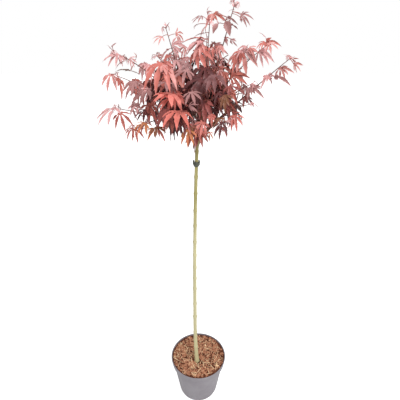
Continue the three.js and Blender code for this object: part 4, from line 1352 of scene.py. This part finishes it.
def stalk(heap, leaf):
    """The leaf's stalk, bowed up a little and thicker where it leaves the twig."""
    rise = np.linalg.norm(leaf.joint - leaf.place) * STALK["bow"]
    line = bowed(leaf.place, leaf.joint, rise, STALK["stations"])
    share = np.linspace(0, 1, STALK["stations"])
    thicker = STALK["flare"] * np.exp(-share * STALK["flare_ends"])
    tube(heap, line.points, STALK["radius"] * (1 + thicker), STALK["sides"])


# The crown

def shoot_wood(heap, name, seed, stem, twigs):
    """The bark of a branch's shoot and of its twigs."""
    share = np.linspace(0, 1, SHOOT["stations"])
    radii = branch_radius(name, between((BRANCH["split"], 1), share))
    radii = radii * between((BRANCH["slim"], 1), np.exp(-share * BRANCH["slims_by"]))
    tube(heap, stem.points, radii, SHOOT["sides"], bark_relief(seed=90 + seed, streak=0.06))
    for twig in twigs:
        radii = np.linspace(TWIG["root"], TWIG["tip"], len(twig.points))
        tube(heap, twig.points, radii, TWIG["sides"])


def heart_tone(leaf, draw):
    """The tone of a grown leaf where it stands in the shade of the crown, a darker tone of painted shade,
    or else its own.
    """
    if leaf.joint[1] < -HEART["deep"] and in_heart(leaf.seen_at()[0]):
        return FRONT_SHADE_TONE
    if np.linalg.norm((leaf.joint - HEART["centre"]) / HEART["reach"]) < 1:
        return HEART_SHADE_TONES[int(draw.integers(len(HEART_SHADE_TONES)))]
    return leaf.tone


def make_crown():
    shoots, stalks = Heap(), Heap()
    blades = {tone: Heap() for tone in LEAF_TONES}
    draw = np.random.default_rng(SEEDS["crown"])
    seen, grown, tips = [], [], []
    for seed, name in enumerate(BRANCHES, 1):
        stem, twigs, leaves = grow(name, seed)
        grown += leaves
        wood = np.vstack([stem.points, *[twig.points[TWIG["bare"]:] for twig in twigs]])
        for row in SEEN_LEAVES.get(name, ()):
            leaf, twig = seen_leaf(row, wood, draw)
            seen.append(leaf)
            if twig:
                twigs.append(twig)
        tips += young_tips(name, stem, seed + len(BRANCHES))
        shoot_wood(shoots, name, seed, stem, twigs)
    spots = [leaf.seen_at() for leaf in seen]
    kept = [leaf for leaf in grown if stands_behind(leaf, spots)]
    for leaf in kept:
        leaf.tone = heart_tone(leaf, draw)
    for leaf in seen + kept + tips:
        stalk(stalks, leaf)
        blade(blades[leaf.tone], leaf, draw)
    masses = ["foliage_" + name for name in BRANCHES]
    shoots.piece("shoots_and_twigs", shoot_finish(), "boughs", masses)
    stalks.piece("leaf_stalks", stalk_finish(), "foliage", masses)
    for tone, heap in blades.items():
        if heap.points:
            heap.piece("leaves_" + tone, leaf_finish(tone), "foliage", masses)


# Stage

def make_camera():
    data = bpy.data.cameras.new("photo_camera")
    data.lens, data.sensor_width = CAMERA["lens"], CAMERA["sensor"]
    camera = bpy.data.objects.new("photo_camera", data)
    camera.location = [value * MM for value in CAMERA["place"]]
    camera.rotation_euler = (math.radians(90 - CAMERA["looks_down"]), 0, 0)
    bpy.context.scene.collection.objects.link(camera)
    bpy.context.scene.camera = camera


def brighter_to_camera(tree, plain, bright):
    """A strength that is one value for light on the plant and another for the white backdrop."""
    path = tree.nodes.new("ShaderNodeLightPath")
    made = node(tree, "ShaderNodeMapRange", To_Min=plain, To_Max=bright)
    tree.links.new(path.outputs["Is Camera Ray"], made.inputs["Value"])
    return made.outputs["Result"]


def make_floor():
    """A plain white floor that fades into the white world."""
    mesh = bpy.data.meshes.new("studio_floor")
    half = BACKDROP["half_side"]
    corners = [(-half, -half, 0), (half, -half, 0), (half, half, 0), (-half, half, 0)]
    mesh.from_pydata(corners, [], [(0, 1, 2, 3)])
    floor = bpy.data.objects.new("studio_floor", mesh)
    bpy.context.scene.collection.objects.link(floor)
    finish = Finish("studio_floor", roughness=0.9, specular=0.1)
    finish.shader.inputs["Base Color"].default_value = (0.9, 0.9, 0.9, 1)
    finish.shader.inputs["Emission Color"].default_value = WHITE
    glow = brighter_to_camera(finish.tree, *BACKDROP["floor"])
    finish.tree.links.new(glow, finish.shader.inputs["Emission Strength"])
    mesh.materials.append(finish.material)


def make_light(name, place, target, size, power):
    data = bpy.data.lights.new(name, "AREA")
    data.shape, data.size, data.energy = "SQUARE", size, power
    lamp = bpy.data.objects.new(name, data)
    lamp.location = place
    aim = np.array(target) - np.array(place)
    lamp.rotation_euler = (
        math.atan2(math.hypot(aim[0], aim[1]), -aim[2]), 0, math.atan2(aim[0], -aim[1]) + math.pi)
    bpy.context.scene.collection.objects.link(lamp)


def make_stage():
    scene = bpy.context.scene
    scene.view_settings.view_transform = "Standard"
    world = bpy.data.worlds.new("studio_white")
    scene.world = world
    world.use_nodes = True
    tree = world.node_tree
    background = tree.nodes["Background"]
    background.inputs["Color"].default_value = WHITE
    tree.links.new(brighter_to_camera(tree, *BACKDROP["world"]), background.inputs["Strength"])
    make_floor()
    make_light("key_soft", **KEY_LIGHT)


make_camera()
make_stage()
make_pot()
make_mulch()
make_trunk()
make_tie()
make_boughs()
make_crown()
